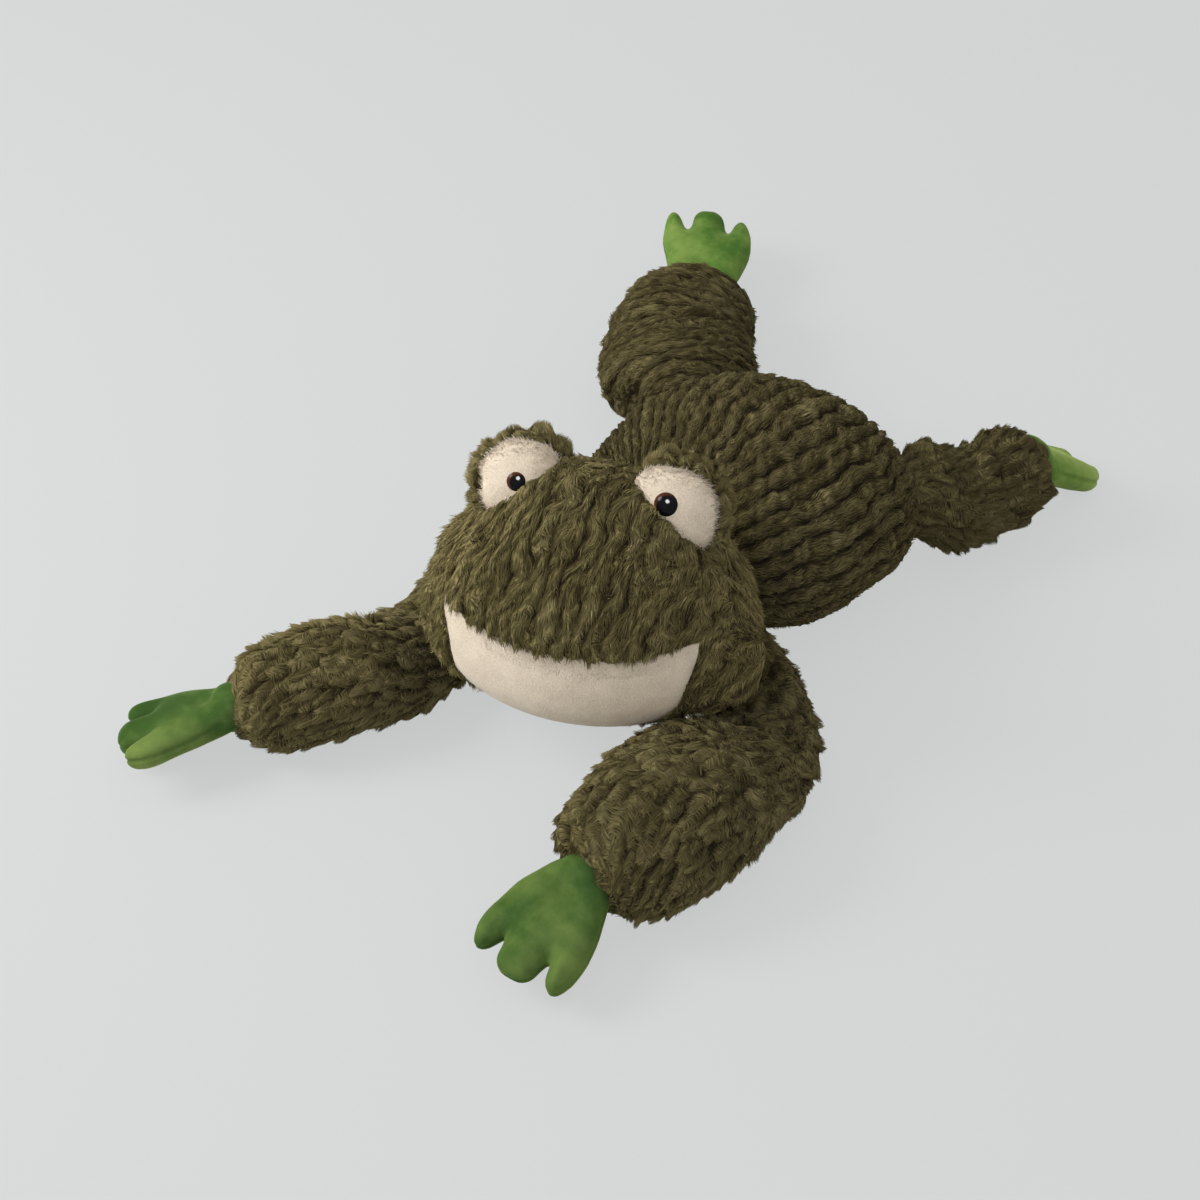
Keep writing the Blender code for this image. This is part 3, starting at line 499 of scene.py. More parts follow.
def bodyPoint(unit):
    along, across, up = unit.z, unit.x, unit.y
    ring = sqrt(max(1 - along * along, 0))
    wider, higher = (ring ** body[key] / ring if ring > 0 else 0 for key in ("endFull", "topFull"))
    taper = 1 - body["taper"] * max(0, -along) ** 1.5
    lift = up * higher
    if lift < 0:
        lift = -abs(lift) ** body["bellyFull"]
    half = body["height"] / 2 * taper
    x = across * wider * body["halfWidth"] * taper - body["lean"] * max(0, -along)
    z = half - body["flat"] + lift * half
    return Vector((x, along * (body["front"] if along < 0 else body["back"]), max(z, 0)))


# Way round the body from its spine, as a length, so that ribs keep their pitch over the flanks
def girthTable():
    turns = np.linspace(0, pi, 181)
    spots = [bodyPoint(Vector((sin(turn), cos(turn), 0))) for turn in turns]
    spans = [0] + [(b - a).length for a, b in zip(spots, spots[1:])]
    return turns, np.cumsum(spans)


def makeBody():
    turns, girth = girthTable()
    bm, rib, run = roundForm(body["sides"], body["rings"])
    for vert in bm.verts:
        unit = vert.co.copy()
        turn = atan2(unit.x, unit.y)
        reach = float(np.interp(abs(turn), turns, girth)) * (1 if turn > 0 else -1)
        vert.co = bodyPoint(unit)
        side = reach - body["fanMiddle"]
        fan = body["fanFrom"] / (body["fanFrom"] - vert.co.y) if side < 0 else 1
        vert[rib] = side * fan / body["pitch"]
        vert[run] = latitude(unit) * body["runRadius"]
    dressForm(bm, bodyCloth, 1)
    piece = finishPiece("bodyPlush", bm, "bodyBacking", "torso",
                        ("body_skin", "body_filling", "bean_pouch"))
    growPile(piece, bodyPile, "bodyPile", "torso", (0.1, 0.95, -0.35), seed=11)
    print("body done")


# Head, in its own frame: -Y ahead, +X to the frog's left
head = dict(place=Vector((21, -121, 64)) * mm, turn=radians(35), halfWidth=76 * mm, front=58 * mm,
            back=57 * mm, top=65 * mm, bottom=41.5 * mm, sides=330, rings=165, pitch=9.5 * mm,
            runRadius=60 * mm, creaseDepth=3 * mm, creaseHeight=9 * mm)
headCloth = dict(depth=2.3 * mm, tuft=1.8 * mm, twist=12 * mm, slant=1.3, sway=0.6, lump=2.4 * mm,
                 lumpSize=34 * mm, full=1.8 * mm, mottle=0.45, close=0.45)
headPile = dict(count=49000, length=5.8 * mm, width=0.85 * mm, lift=0.26, along=0.75, lay=0.25,
                fan=0.2, slant=0.1, stray=0.15, gather=0.5, reach=8 * mm, unruly=0.15, columns=2)
# Forehead that rises between the eyes and laps their patches, and the cheeks beside the mouth
brow = dict(rise=13 * mm, halfWidth=46 * mm, ahead=5 * mm, run=32 * mm, height=35 * mm)
cheek = dict(across=66 * mm, ahead=26 * mm, up=1 * mm, radius=22 * mm, left=11 * mm, right=3 * mm)
lip = dict(out=3.2 * mm, above=11 * mm)
mouth = dict(rise=25.5 * mm, smile=1 * mm, rightReach=60 * mm, leftReach=56 * mm, drop=37 * mm)
chin = dict(across=110, down=50, puff=1.0 * mm, stand=0.5 * mm, thick=2.0 * mm)
chinPile = dict(count=30000, length=1.8 * mm, width=0.5 * mm, lift=0.3, along=0.2, lay=0.6,
                fan=0, slant=0, stray=0.3, gather=0)
neck = dict(place=Vector((9, -60, 48)) * mm, radius=22.5 * mm, sides=90, rings=60)

headFrame = Matrix.Translation(head["place"]) @ Matrix.Rotation(head["turn"], 4, "Z")
headBack = np.array(headFrame.inverted())
headTurn = headFrame.to_3x3()


# Height of the mouth, and how far the chin panel hangs below it
def mouthLine(x):
    return mouth["rise"] + mouth["smile"] * ((x / mouth["rightReach"]) ** 2 - 1)


def chinDepth(x):
    left = np.asarray(x) > 0
    share = np.abs(x) / np.where(left, mouth["leftReach"], mouth["rightReach"])
    curve = np.sqrt(np.clip(1 - share ** np.where(left, 2.0, 2.6), 0, 1))
    return (mouth["rise"] + mouth["drop"]) * curve


# Front of the head at a place given from the front
def headFront(x, z):
    height = head["top"] if z > 0 else head["bottom"]
    left = 1 - (x / head["halfWidth"]) ** 2 - (z / height) ** 2
    return -head["front"] * sqrt(max(left, 0))


# A place on the head's form for a way out of its middle, in the head's frame
def headPoint(unit):
    depth = head["front"] if unit.y < 0 else head["back"]
    height = head["top"] if unit.z > 0 else head["bottom"]
    spot = Vector((unit.x * head["halfWidth"], unit.y * depth, unit.z * height))
    facing = max(0, -unit.y)
    over = spot.z - mouthLine(spot.x)
    off = over / head["creaseHeight"]
    spot.y += head["creaseDepth"] * max(0, 1 - off * off) * facing
    hang = over / lip["above"]
    if 0 < hang < 1:
        full = sqrt(1 - hang) * min(1, hang * 8 + 0.4)
        spot.y -= (lip["out"] + head["creaseDepth"]) * full * facing
    if spot.z > 0:
        spot.z += (brow["rise"] * min(1, spot.z / brow["height"]) ** 2
                   * exp(-(spot.x / brow["halfWidth"]) ** 4)
                   * exp(-((spot.y - brow["ahead"]) / brow["run"]) ** 2))
    for side in (-1, 1):
        middle = Vector((side * cheek["across"], -cheek["ahead"], cheek["up"]))
        near = (spot - middle).length / cheek["radius"]
        if near < 1:
            puff = cheek["left" if side > 0 else "right"]
            spot += (spot - Vector((0, 0, middle.z))).normalized() * puff * sqrt(1 - near ** 2.5)
    return spot


def makeHead():
    bm, rib, run = roundForm(head["sides"], head["rings"])
    calm = newLayer(bm, "calm")
    for vert in bm.verts:
        unit = vert.co.copy()
        spot = headPoint(unit)
        vert[calm] = 1 if underChin(spot.x, spot.y, spot.z) else 0
        lean = max(0, -unit.y) * max(0, 1 - unit.z)
        ahead = (pi / 2 - atan2(unit.z, -unit.y)) * head["runRadius"]
        vert[rib] = (spot.x * (1 + 0.38 * lean) + 0.2 * max(0, ahead)) / head["pitch"] + 0.5
        vert[run] = ahead
        vert.co = headFrame @ spot
    dressForm(bm, headCloth, 2)
    piece = finishPiece("headPlush", bm, "headBacking", "head",
                        ("head_skin", "head_filling"))
    ahead = headTurn @ Vector((0, -1, -0.55))
    growPile(piece, headPile, "headPile", "head", ahead, headKeeps, seed=12)
    print("head done")


def toHead(root):
    return root @ headBack[:3, :3].T + headBack[:3, 3]


# The front that the chin panel covers, where the pile is cut away
def underChin(x, y, z):
    line = mouthLine(x)
    depth = chinDepth(x)
    return (y < 0) & (z < line - 0.5 * mm) & (z > line - depth + 1 * mm) & (depth > 3 * mm)


def headKeeps(root, normal):
    spot = toHead(root)
    return ~underChin(spot[:, 0], spot[:, 1], spot[:, 2])


# Cream crescent under the mouth
def makeChin():
    bm = bmesh.new()
    bmesh.ops.create_grid(bm, x_segments=chin["across"], y_segments=chin["down"], size=1)
    for vert in bm.verts:
        a, b = vert.co.x, (1 - vert.co.y) / 2
        x = sin(a * pi / 2 * 0.975) * (mouth["leftReach"] if a > 0 else mouth["rightReach"])
        z = mouthLine(x) - float(chinDepth(x)) * b
        rim = min(1, 3.5 * min(b, 1 - b)) * min(1, 5 * (1 - abs(a)))
        spot = Vector((x, headFront(x, z), z))
        out = Vector((x / head["halfWidth"] ** 2, spot.y / head["front"] ** 2,
                      z / head["bottom"] ** 2))
        pucker = ripple(*(spot / (7 * mm))) * 0.5 * mm * (1 - rim)
        rise = chin["stand"] + chin["puff"] * sqrt(rim) + pucker
        vert.co = headFrame @ (spot + out.normalized() * rise)
    turnOut(bm)
    bm.normal_update()
    middle = headFrame @ Vector((0, -head["front"], 0))
    nearest = min(bm.faces, key=lambda face: (face.calc_center_median() - middle).length)
    if nearest.normal.dot(middle - head["place"]) < 0:
        bmesh.ops.reverse_faces(bm, faces=bm.faces)
    bmesh.ops.solidify(bm, geom=bm.faces[:], thickness=chin["thick"])
    rib = newLayer(bm, "rib")
    for vert in bm.verts:
        vert[rib] = vert.co.x * 90
    plainCloth(bm)
    piece = finishPiece("chinPlush", bm, "velboa", "head", ("chin_panel",))

    def chinKeeps(root, normal):
        spot = toHead(root)
        drop = (mouthLine(spot[:, 0]) - spot[:, 2]) / np.maximum(chinDepth(spot[:, 0]), 1 * mm)
        edge = np.minimum(drop, 1 - drop) < 0.14
        return edge & (((root - np.array(head["place"])) * normal).sum(1) > 0)

    growPile(piece, chinPile, "velboa", "head", (0, 0, -1), chinKeeps, seed=14)
    print("chin done")


def makeNeck():
    place = Matrix.Translation(neck["place"])
    bm, rib, run = roundForm(neck["sides"], neck["rings"], neck["radius"], place)
    for vert in bm.verts:
        vert[rib] = vert.co.x / head["pitch"]
        vert[run] = vert.co.z
    dressForm(bm, dict(headCloth, depth=1.0 * mm, full=0, lump=0.5 * mm), 5)
    piece = finishPiece("neckPlush", bm, "bodyBacking", "neck_seam", ("neck_thread",))
    growPile(piece, dict(headPile, count=2500), "bodyPile", "neck_seam",
             (0.1, -0.9, 0.2), seed=13)
    print("neck done")


# Eye mounds, hoods and patches
mound = dict(middle=Vector((34.5, 18, 56)) * mm, size=(27 * mm, 23 * mm, 27 * mm), sides=120,
             rings=80, eyeWay=(-0.04, -0.72, 0.69), patchWay=(0.12, -0.8, 0.56))
hoodCloth = dict(depth=1.4 * mm, tuft=3.6 * mm, twist=9 * mm, slant=0.5, sway=0.4, lump=2.6 * mm,
                 lumpSize=10 * mm, full=-1.2 * mm, mottle=0.9, close=0.3)
hoodPile = dict(count=17000, length=4.6 * mm, width=0.65 * mm, lift=0.75, along=0.15, lay=0.35,
                fan=0.1, slant=0, stray=0.24, gather=0.8, reach=6 * mm, unruly=0.45, columns=2)
patchPile = dict(chinPile, count=16000, length=3.4 * mm, lift=0.25, along=0.1, lay=0.8, stray=0.28)
# Patches, with how many degrees they reach from their middle, from the outer side round
patch = dict(stand=1.2 * mm, rim=0.6 * mm, thick=1.8 * mm, sides=96,
             left=(44, 44, 44, 54, 56, 54, 54, 54), right=(28, 38, 49, 60, 56, 54, 50, 36))
eye = dict(radius=6.0 * mm, dome=4.2 * mm, rim=0.6 * mm, back=0.3 * mm, shank=1.8 * mm,
           length=11 * mm, rings=24, sides=64, left=dict(sunk=1.3 * mm, ring=0.77),
           right=dict(sunk=2.1 * mm, ring=0.59))


# Middle of the left or right mound in the head's frame, or a way that its eye or patch faces
def moundSide(side, what):
    x, y, z = mound[what]
    return Vector((side * x, y, z))


# Frame on the mound with +Z along the patch, +X to the outer side
def patchFrame(side):
    up = moundSide(side, "patchWay").normalized()
    across = Vector((side, 0, 0))
    across = (across - up * across.dot(up)).normalized()
    return Matrix((across, up.cross(across) * side, up)).transposed()


def patchReach(side, turn):
    table = patch["left" if side > 0 else "right"]
    place = (turn / (2 * pi)) % 1 * len(table)
    first = int(place) % len(table)
    blend = eased(place - int(place))
    return radians(table[first] + (table[(first + 1) % len(table)] - table[first]) * blend)


def onMound(side, way, grow):
    size = Vector(mound["size"])
    reach = 1 / Vector((way.x / size.x, way.y / size.y, way.z / size.z)).length
    return moundSide(side, "middle") + way * (reach + grow)


def makeEye(side, word):
    low = word.lower()
    turn = patchFrame(side)
    flat = np.array(turn)

    bm, rib, run = roundForm(mound["sides"], mound["rings"])
    calm = newLayer(bm, "calm")
    for vert in bm.verts:
        spin = atan2(vert.co.y, vert.co.x)
        up = latitude(vert.co)
        vert[calm] = 1 if (pi / 2 - up) / patchReach(side, spin) < 0.96 else 0
        way = turn @ vert.co.normalized()
        vert[rib] = up * 2.6
        vert[run] = spin * 22 * mm
        vert.co = headFrame @ onMound(side, way.normalized(), 0)
    dressForm(bm, hoodCloth, 6 + side)
    hood = finishPiece("hoodPlush" + word, bm, "headBacking", "head",
                       ("eye_hood_" + low, "eye_stuffing_" + low))

    place = np.array(moundSide(side, "middle"))

    # How far out on the patch a root is: 1 at its rim
    def patchShare(root):
        way = unitRows((toHead(root) - place) / np.array(mound["size"]) * mound["size"][0]) @ flat
        turns = np.arctan2(way[:, 1], way[:, 0])
        reach = np.array([patchReach(side, t) for t in turns])
        return np.arccos(np.clip(way[:, 2], -1, 1)) / reach

    def hoodKeeps(root, normal):
        spot = toHead(root)
        half = np.array([head["halfWidth"], head["back"], head["top"]]) * 0.95
        return (patchShare(root) > 0.97) & (((spot / half) ** 2).sum(1) > 1)

    facing = headTurn @ moundSide(side, "patchWay").normalized()
    growPile(hood, hoodPile, "headPile", "head", facing * 0.7 + Vector((0, 0, 0.5)),
             hoodKeeps, seed=20 + side)

    bm, rib, run = roundForm(patch["sides"], patch["sides"])
    lower = [vert for vert in bm.verts if vert.co.z < -0.001]
    bmesh.ops.delete(bm, geom=lower, context="VERTS")
    plainCloth(bm)
    for vert in bm.verts:
        share = (pi / 2 - latitude(vert.co)) / (pi / 2)
        spin = atan2(vert.co.y, vert.co.x)
        angle = share * patchReach(side, spin)
        way = turn @ Vector((sin(angle) * cos(spin), sin(angle) * sin(spin), cos(angle)))
        puff = patch["stand"] * sqrt(max(0, 1 - share ** 4)) + patch["rim"]
        vert[rib] = spin * 3
        vert.co = headFrame @ onMound(side, way, puff)
    turnOut(bm)
    bmesh.ops.solidify(bm, geom=bm.faces[:], thickness=patch["thick"])
    cover = finishPiece("patchPlush" + word, bm, "velboa", "head", ("eye_patch_" + low,))

    def patchKeeps(root, normal):
        share = patchShare(root)
        outward = toHead(root) - place
        outer = (normal @ np.array(headTurn) * outward).sum(1) > 0
        chance = np.random.default_rng(40 + side).random(len(root))
        return outer & (chance < share ** 5)

    growPile(cover, patchPile, "velboa", "head",
             headTurn @ Vector((side * 0.8, -0.1, 0.2)), patchKeeps, seed=30 + side)
    makeEyeball(side, word, low)


# Black dome with a brown edge on its shank, sunk into the patch, and the washer's finish
def makeEyeball(side, word, low):
    way = moundSide(side, "eyeWay").normalized()
    size = Vector(mound["size"])
    square = Vector((way.x / size.x ** 2, way.y / size.y ** 2, way.z / size.z ** 2)).normalized()
    seat = eye[low]
    turn = square.to_track_quat("Z", "Y").to_matrix().to_4x4()
    place = Matrix.Translation(onMound(side, way, -seat["sunk"])) @ turn
    turns = [pi / 2 * k / eye["rings"] for k in range(eye["rings"] + 1)]
    profile = [(eye["radius"] * sin(t), eye["rim"] + eye["dome"] * cos(t)) for t in turns]
    profile += [(eye["radius"], eye["back"]), (eye["shank"], eye["back"]),
                (eye["shank"], -eye["length"]), (0, -eye["length"])]
    bm = bmesh.new()
    verts = [bm.verts.new((radius, 0, height)) for radius, height in profile]
    edges = [bm.edges.new(pair) for pair in zip(verts, verts[1:])]
    bmesh.ops.spin(bm, geom=verts + edges, cent=(0, 0, 0), axis=(0, 0, 1), angle=2 * pi,
                   steps=eye["sides"], use_merge=True)
    bmesh.ops.remove_doubles(bm, verts=bm.verts, dist=1e-6)
    turnOut(bm)
    iris = newLayer(bm, "iris")
    away = place.to_3x3().inverted() @ Vector((0.8, 0, -0.6)) * 1.3 * mm
    for vert in bm.verts:
        off = Vector((vert.co.x - away.x, vert.co.y - away.y)).length / eye["radius"]
        vert[iris] = max(0, min(1, (off - seat["ring"]) * 9))
    bmesh.ops.transform(bm, matrix=headFrame @ place, verts=bm.verts)
    finishPiece("eyeball" + word, bm, "eye", "head", ("eye_" + low,))
    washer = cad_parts["eye_washer_" + low].data.materials
    washer.clear()
    washer.append(looks["washer"])


# Arms and legs, in millimetres: root, ball in the body, a centre line on the floor, and how far the
# end lifts off it. Widths and heights are shares of the width, at these stations along the line.
stations = (0.19, 0.32, 0.46, 0.6, 0.72, 0.82, 0.9)
limbs = dict(
    armRight=dict(
        root=(-55.3, -57.04, 20), ball=17, width=58, lift=0,
        path=((-62, -88), (-58, -128), (-49, -163), (-47, -190), (-56, -224), (-71, -258)),
        widths=(0.9, 0.92, 0.94, 0.96, 0.98, 0.98, 0.96),
        heights=(0.56, 0.52, 0.54, 0.72, 0.9, 0.92, 0.88)),
    armLeft=dict(
        root=(50.56, -55.8, 20), ball=17, width=58, lift=0,
        path=((88, -76), (110, -106), (113, -146), (113, -205)),
        widths=(0.82, 0.92, 1.08, 1.28, 1.35, 1.33, 1.2),
        heights=(0.56, 0.58, 0.84, 1.02, 1.06, 1.04, 0.96)),
    legRight=dict(
        root=(-77.42, 31.08, 40), ball=20, width=68, lift=0,
        path=((-101, 50), (-124, 73), (-141, 97), (-152, 117)),
        widths=(1.12, 1.16, 1.14, 1.12, 1.08, 1.02, 0.94),
        heights=(0.8, 0.84, 0.84, 0.82, 0.8, 0.78, 0.74)),
    legLeft=dict(
        root=(51.35, 66.6, 40), ball=20, width=68, lift=15,
        path=((57, 84), (64, 99), (68.5, 112), (70, 121), (70, 128.5)),
        widths=(0.84, 0.78, 0.73, 0.72, 0.72, 0.72, 0.68),
        heights=(0.8, 0.76, 0.73, 0.72, 0.72, 0.72, 0.68)))
limbMesh = dict(sides=140, rings=190, pitch=9.0 * mm, cuff=5 * mm, flat=0.5 * mm)
armCloth = dict(tuft=4.0 * mm, sway=0.45, lump=2.4 * mm, lumpSize=30 * mm, full=0.8 * mm,
                petals=dict(across=6.2 * mm, rows=1.25, jitter=0.6, tilt=0.9, length=1.75, wide=1.1))
legCloth = dict(depth=3.8 * mm, tuft=1.6 * mm, twist=12 * mm, slant=0.9, sway=0.42, lump=2.2 * mm,
                lumpSize=30 * mm, full=2.4 * mm, mottle=0.5, close=0.7)
armPile = dict(count=44000, length=4.8 * mm, width=0.8 * mm, lift=0.36, along=0.05, lay=0.1,
               fan=0.0, slant=0.7, stray=0.11, gather=0.8, reach=6.5 * mm, unruly=0.28, columns=0)
legPile = dict(armPile, count=32000, length=4.2 * mm, lift=0.28, along=0.8, lay=0.15, fan=0.1,
               slant=0.0, gather=0.6, unruly=0.16, columns=1)
# Hands and feet, in millimetres and degrees
paws = dict(
    armRight=dict(length=54, width=52, ball=12, droop=12, roll=22, turn=-4, skew=0),
    armLeft=dict(length=54, width=52, ball=12, droop=14, roll=0, turn=11, skew=0),
    legRight=dict(length=62, width=51, ball=13, droop=-6, roll=0, turn=16, skew=-0.18),
    legLeft=dict(length=62, width=51, ball=13, droop=38, roll=0, turn=12, skew=0))


# Curve through points, with that many steps between each two
def smoothPath(points, steps):
    ends = [points[0] * 2 - points[1]] + points + [points[-1] * 2 - points[-2]]
    curve = []
    for index in range(1, len(ends) - 2):
        a, b, c, d = ends[index - 1:index + 3]
        for k in range(steps):
            t = k / steps
            curve.append(0.5 * (2 * b + (c - a) * t + (2 * a - 5 * b + 4 * c - d) * t * t
                                + (3 * b - a - 3 * c + d) * t ** 3))
    curve.append(points[-1])
    return curve


class Limb:
    def __init__(self, spec):
        self.root = Vector(spec["root"]) * mm
        self.ball, self.width, self.lift = (spec[key] * mm for key in ("ball", "width", "lift"))
        self.spec = spec
        flat = [Vector((self.root.x, self.root.y, 0))]
        flat += [Vector((x, y, 0)) * mm for x, y in spec["path"]]
        self.curve = smoothPath(flat, 6)
        self.marks = np.cumsum([0] + [(b - a).length for a, b in zip(self.curve, self.curve[1:])])
        self.length = self.marks[-1]

    def sizeAt(self, share):
        return [float(self.width * np.interp(share, stations, self.spec[key]))
                for key in ("widths", "heights")]

    def wayAt(self, share):
        here = min(max(share, 0), 1) * self.length
        index = min(int(np.searchsorted(self.marks, here, "right")), len(self.curve) - 1)
        way = (self.curve[index] - self.curve[index - 1]).normalized()
        return self.curve[index - 1] + way * (share * self.length - self.marks[index - 1]), way

    def centreAt(self, share):
        place, way = self.wayAt(share)
        high = self.sizeAt(share)[1]
        blend = min(1, max(0, share) / stations[2])
        floorRise = high / 2 - limbMesh["flat"] + self.lift * share
        place.z = self.root.z + (floorRise - self.root.z) * blend
        return place, way

    # Half width and half height at a distance along, rounded at both ends
    def halves(self, reach):
        share = reach / self.length
        firstWide, firstHigh = self.sizeAt(stations[0])
        if share < stations[0]:
            if reach < 0:
                half = sqrt(max(self.ball ** 2 - reach ** 2, 0))
                return half, half
            blend = eased(share / stations[0])
            return (self.ball + (firstWide / 2 - self.ball) * blend,
                    self.ball + (firstHigh / 2 - self.ball) * blend)
        wide, high = self.sizeAt(share)
        cuff = max(0, (reach - 0.86 * self.length) / (0.14 * self.length + limbMesh["cuff"]))
        close = sqrt(max(0, 1 - min(1, cuff) ** 2.6))
        return wide / 2 * close, high / 2 * close


def makeLimb(name, body, nodes, cloth, pile, seed):
    limb = Limb(limbs[name])
    bm, rib, run = roundForm(limbMesh["sides"], limbMesh["rings"])
    total = limb.length + limbMesh["cuff"] + limb.ball
    for vert in bm.verts:
        share = 1 - (latitude(vert.co) / pi + 0.5)
        spin = atan2(vert.co.y, vert.co.x)
        closer = 0.5 - 0.5 * cos(share * pi)
        reach = -limb.ball + total * (0.35 * closer + 0.65 * share)
        place, way = limb.centreAt(reach / limb.length)
        wide, high = limb.halves(reach)
        across = way.cross(Vector((0, 0, 1))).normalized()
        vert.co = place + across * wide * cos(spin) + Vector((0, 0, high * sin(spin)))
        vert[rib] = reach / limbMesh["pitch"]
        vert[run] = spin * (wide + high) / 2
    dressForm(bm, cloth, seed)
    coat = name[:3]  # arm or leg
    piece = finishPiece(name + "Plush", bm, coat + "Backing", body, nodes)
    start = np.array(limb.root)
    end = np.array(limb.centreAt(1.0)[0])
    nap = Vector(end - start) + Vector((0, 0, -0.3)) * limb.length
    growPile(piece, pile, coat + "Pile", body, nap, seed=seed)
    return limb


# Frame at the limb's end, with +Y along the paw and +Z out of its back
def pawFrame(limb, pose):
    droop, roll, turn = radians(pose["droop"]), radians(pose["roll"]), radians(pose["turn"])
    place, way = limb.centreAt(1.0)
    flat = Matrix.Rotation(turn, 3, "Z") @ way
    ahead = Vector((flat.x * cos(droop), flat.y * cos(droop), -sin(droop)))
    across = ahead.cross(Vector((0, 0, 1))).normalized()
    axes = Matrix((across, ahead, across.cross(ahead))).transposed().to_4x4()
    spot = place + way * pawForm["reach"]
    return Matrix.Translation(spot) @ axes @ Matrix.Rotation(roll, 4, "Y")


# A mitt with three rounded toes: half its edge from the wrist, as shares of its width and length
pawEdge = ((0.00, -0.12), (0.18, -0.1), (0.28, -0.01), (0.35, 0.12), (0.43, 0.33), (0.49, 0.56),
           (0.49, 0.77), (0.44, 0.9), (0.37, 0.93), (0.295, 0.87), (0.225, 0.7), (0.19, 0.8),
           (0.165, 0.92), (0.09, 0.99), (0.00, 1.00))
pawForm = dict(steps=8, slab=2.0 * mm, grain=1.0 * mm, rounds=7, edge=1.2 * mm, puff=8.8 * mm,
               round=14 * mm, reach=4 * mm, seam=0.9 * mm, dent=1.8 * mm, lump=1.0 * mm)


def pawOutline(pose):
    length, width = pose["length"] * mm, pose["width"] * mm
    half = [Vector((x * width, y * length, 0)) for x, y in pawEdge]
    whole = half + [Vector((-spot.x, spot.y, 0)) for spot in half[-2:0:-1]]
    for spot in whole:
        spot.y += pose["skew"] * spot.x * max(0, spot.y / length)
    return smoothPath(whole + whole[:1], pawForm["steps"])[:-1]


# Voxel remesh that joins forms into one skin, then rounds of smoothing
def knitForm(bm, rounds=0):
    loose = addObject("knit", meshFrom("knit", bm))
    knit = loose.modifiers.new("knit", "REMESH")
    knit.mode = "VOXEL"
    knit.voxel_size = pawForm["grain"]
    if rounds:
        ease = loose.modifiers.new("ease", "SMOOTH")
        ease.factor = 0.5
        ease.iterations = rounds
    graph = bpy.context.evaluated_depsgraph_get()
    bm = bmesh.new()
    bm.from_mesh(bpy.data.meshes.new_from_object(loose.evaluated_get(graph)))
    bpy.data.objects.remove(loose)
    return bm


# A slab on the outline, raised to a pillow, joined to the ball of the wrist or ankle, then seamed
def makePaw(name, limb, body, nodes, seed):
    pose = paws[name]
    length = pose["length"] * mm
    loop = pawOutline(pose)
    bm = bmesh.new()
    made = bmesh.ops.create_circle(bm, cap_ends=True, segments=len(loop), radius=1)
    for vert, spot in zip(made["verts"], loop):
        vert.co = spot - Vector((0, 0, pawForm["slab"]))
    grown = bmesh.ops.extrude_face_region(bm, geom=bm.faces[:])
    top = [item for item in grown["geom"] if isinstance(item, bmesh.types.BMVert)]
    bmesh.ops.translate(bm, verts=top, vec=(0, 0, 2 * pawForm["slab"]))
    turnOut(bm)
    bm = knitForm(bm)
    ends = np.array([(spot.x, spot.y) for spot in loop])
    nexts = np.roll(ends, -1, 0)
    span = nexts - ends
    for vert in bm.verts:
        here = np.array((vert.co.x, vert.co.y))
        share = np.clip(((here - ends) * span).sum(1) / (span ** 2).sum(1), 0, 1)
        edge = np.linalg.norm(ends + span * share[:, None] - here, axis=1).min()
        rise = min(1, edge / pawForm["round"])
        high = pawForm["edge"] + (pawForm["puff"] - pawForm["edge"]) * sqrt(1 - (1 - rise) ** 2)
        vert.co.z *= high / pawForm["slab"]
    bmesh.ops.create_uvsphere(bm, u_segments=40, v_segments=24, radius=pose["ball"] * mm)
    bm = knitForm(bm, pawForm["rounds"])

    seam = newLayer(bm, "seam")
    bm.normal_update()
    drift = Vector((seed, seed * 2, seed * 3))
    for vert in bm.verts:
        side = 1 - min(1, abs(vert.normal.z) / 0.55)
        near = exp(-(vert.co.z / (0.8 * mm)) ** 2) * side * min(1, max(0, vert.co.y / (8 * mm)))
        pucker = 0.5 + 0.5 * ripple(*(vert.co / (2 * mm)))
        dent = exp(-((vert.co.y - 0.16 * length) ** 2 + vert.co.x ** 2) / (7 * mm) ** 2)
        swell = ripple(*(vert.co / (15 * mm) + drift)) * pawForm["lump"]
        # The seam layer paints shade into the seam's groove; pucker varies how dark it is
        vert[seam] = near * (0.35 + 0.5 * pucker)
        vert.co += vert.normal * (swell - near * pawForm["seam"] - dent * pawForm["dent"])
    bmesh.ops.transform(bm, matrix=pawFrame(limb, pose), verts=bm.verts)
    for vert in bm.verts:
        vert.co.z = max(vert.co.z, floorGap)
    finishPiece(name + "Paw", bm, body[:4] + "Velour", body, nodes)


def makeLimbs():
    table = (("armRight", "arm_right", "hand_right", armCloth, armPile, 3),
             ("armLeft", "arm_left", "hand_left", armCloth, armPile, 4),
             ("legRight", "leg_right", "foot_right", legCloth, legPile, 8),
             ("legLeft", "leg_left", "foot_left", armCloth, armPile, 9))
    for name, body, paw, cloth, pile, seed in table:
        nodes = [body + "_sleeve", body + "_filling"]
        if body.startswith("leg"):
            nodes.append(body + "_thread")
        limb = makeLimb(name, body, nodes, cloth, pile, seed)
        makePaw(name, limb, paw, (paw + "_top", paw + "_sole", paw + "_filling"), seed)
        print(name, "done")


# Stage, lamps and camera
studio = dict(target=Vector((-28.9, -70.9, 0)) * mm, back=Vector((0.5255, -0.4731, 0.7071)),
              distance=1150 * mm, lens=69, floor=3.0, glow=0.82, world=0.66,
              key=dict(place=(-0.62, -0.8, 0.8), aim=(-0.02, -0.1, 0.05), size=0.6, power=11.5),
              fill=dict(place=(0.7, -1.4, 1.2), aim=(-0.02, -0.05, 0.05), size=1.6, power=1.0),
              glint=dict(place=(0.44, -0.66, 0.98), aim=(0.02, -0.12, 0.14), size=0.46,
                         power=40.0))


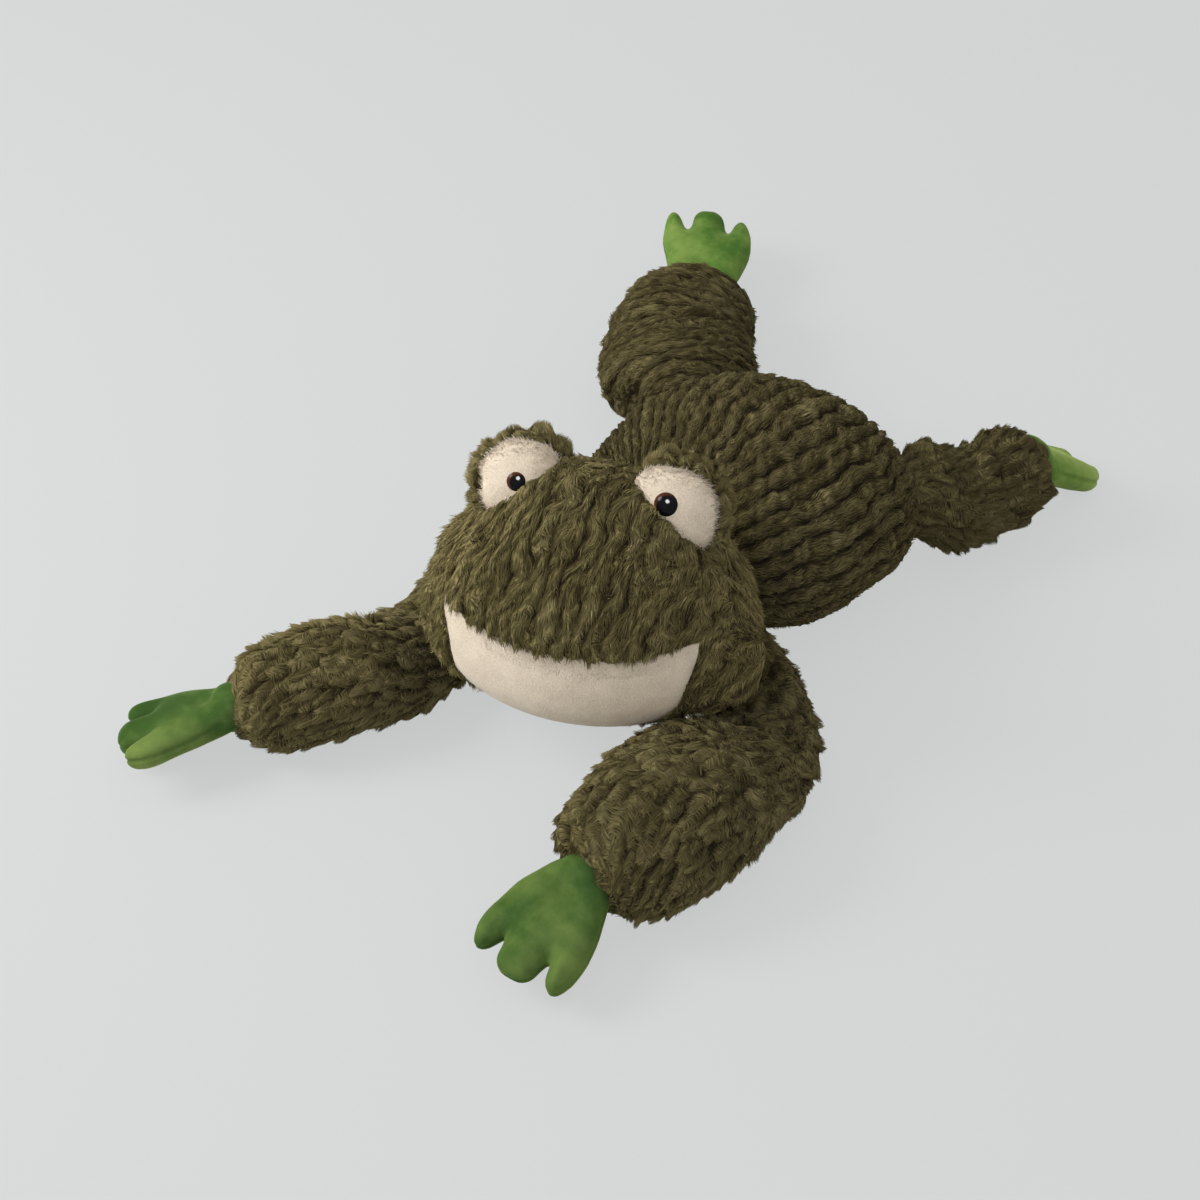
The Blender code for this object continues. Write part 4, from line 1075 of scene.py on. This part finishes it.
# Floor that shows the camera its own pale colour and keeps a soft shadow
def makeFloor():
    bm = bmesh.new()
    bmesh.ops.create_grid(bm, x_segments=8, y_segments=8, size=studio["floor"])
    floor = addObject("floor", meshFrom("floor", bm))
    look = Look("floorPaper", 0.9, Specular_IOR_Level=0.05)
    look.colour(look.mix(look.grain(3), tuple(c * 0.985 for c in pale), pale))
    floor.data.materials.append(look.material)
    glow = look.node("ShaderNodeEmission", None, {"Color": (*pale, 1)})
    seen = look.node("ShaderNodeLightPath") * studio["glow"]
    paper = Wire(look, look.shader.outputs[0])
    both = look.node("ShaderNodeMixShader", None, {0: seen, 1: paper, 2: glow})
    look.tree.links.new(both.socket, look.tree.nodes["Material Output"].inputs["Surface"])


# White light all round, which the camera, gloss and glass see as the pale backdrop
def makeWorld():
    world = bpy.data.worlds.new("studio")
    bpy.context.scene.world = world
    world.use_nodes = True
    tree = world.node_tree
    tree.nodes.clear()
    path = tree.nodes.new("ShaderNodeLightPath")
    seen = path.outputs["Is Camera Ray"]
    for ray in ("Is Glossy Ray", "Is Transmission Ray"):
        most = tree.nodes.new("ShaderNodeMath")
        most.operation = "MAXIMUM"
        tree.links.new(seen, most.inputs[0])
        tree.links.new(path.outputs[ray], most.inputs[1])
        seen = most.outputs[0]
    blend = tree.nodes.new("ShaderNodeMixShader")
    tree.links.new(seen, blend.inputs["Fac"])
    for slot, colour, strength in ((1, (1, 1, 1, 1), studio["world"]), (2, (*pale, 1), 1)):
        light = tree.nodes.new("ShaderNodeBackground")
        light.inputs["Color"].default_value = colour
        light.inputs["Strength"].default_value = strength
        tree.links.new(light.outputs[0], blend.inputs[slot])
    output = tree.nodes.new("ShaderNodeOutputWorld")
    tree.links.new(blend.outputs[0], output.inputs["Surface"])


def addLamp(name):
    lamp = studio[name]
    data = bpy.data.lights.new(name, "AREA")
    data.shape = "DISK"
    data.size = lamp["size"]
    data.energy = lamp["power"]
    made = addObject(name, data)
    made.location = lamp["place"]
    way = Vector(lamp["aim"]) - Vector(lamp["place"])
    made.rotation_euler = way.to_track_quat("-Z", "Y").to_euler()
    return made


def makeCamera():
    data = bpy.data.cameras.new("camera")
    data.lens = studio["lens"]
    data.sensor_width = 36
    data.clip_start = 0.01
    camera = addObject("camera", data)
    back = studio["back"].normalized()
    camera.location = studio["target"] + back * studio["distance"]
    camera.rotation_euler = back.to_track_quat("Z", "Y").to_euler()
    bpy.context.scene.camera = camera


# Painted light and shade: the hands get a darker and the feet a lighter copy of the same green
# velour
looks = dict(velboa=velboaLook("creamVelboa", cream), handVelour=velourLook("handVelour", 0.82),
             footVelour=velourLook("footVelour", 1.4), eye=eyeLook("blackEye"),
             washer=threadLook("washerNylon", (0.8, 0.8, 0.78)))
# Painted light and shade: the same cloth is made lighter or darker on each part, as the light falls
# on it
for coat, share in (("arm", 0.86), ("body", 0.76), ("head", 1.1), ("leg", 0.7)):
    looks[coat + "Pile"] = pileLook(coat + "PileCloth", scaled(olive, share))
    looks[coat + "Backing"] = backingLook(coat + "Backing", scaled(olive, share))

makeBody()
makeHead()
makeChin()
makeNeck()
for side, word in ((-1, "Right"), (1, "Left")):
    makeEye(side, word)
print("eyes done")
makeLimbs()
makeFloor()
makeWorld()
addLamp("key")
addLamp("fill")
addLamp("glint").visible_diffuse = False  # the small flash that only the glossy eyes show
makeCamera()
print("studio done")
bpy.context.scene.view_settings.view_transform = "Standard"
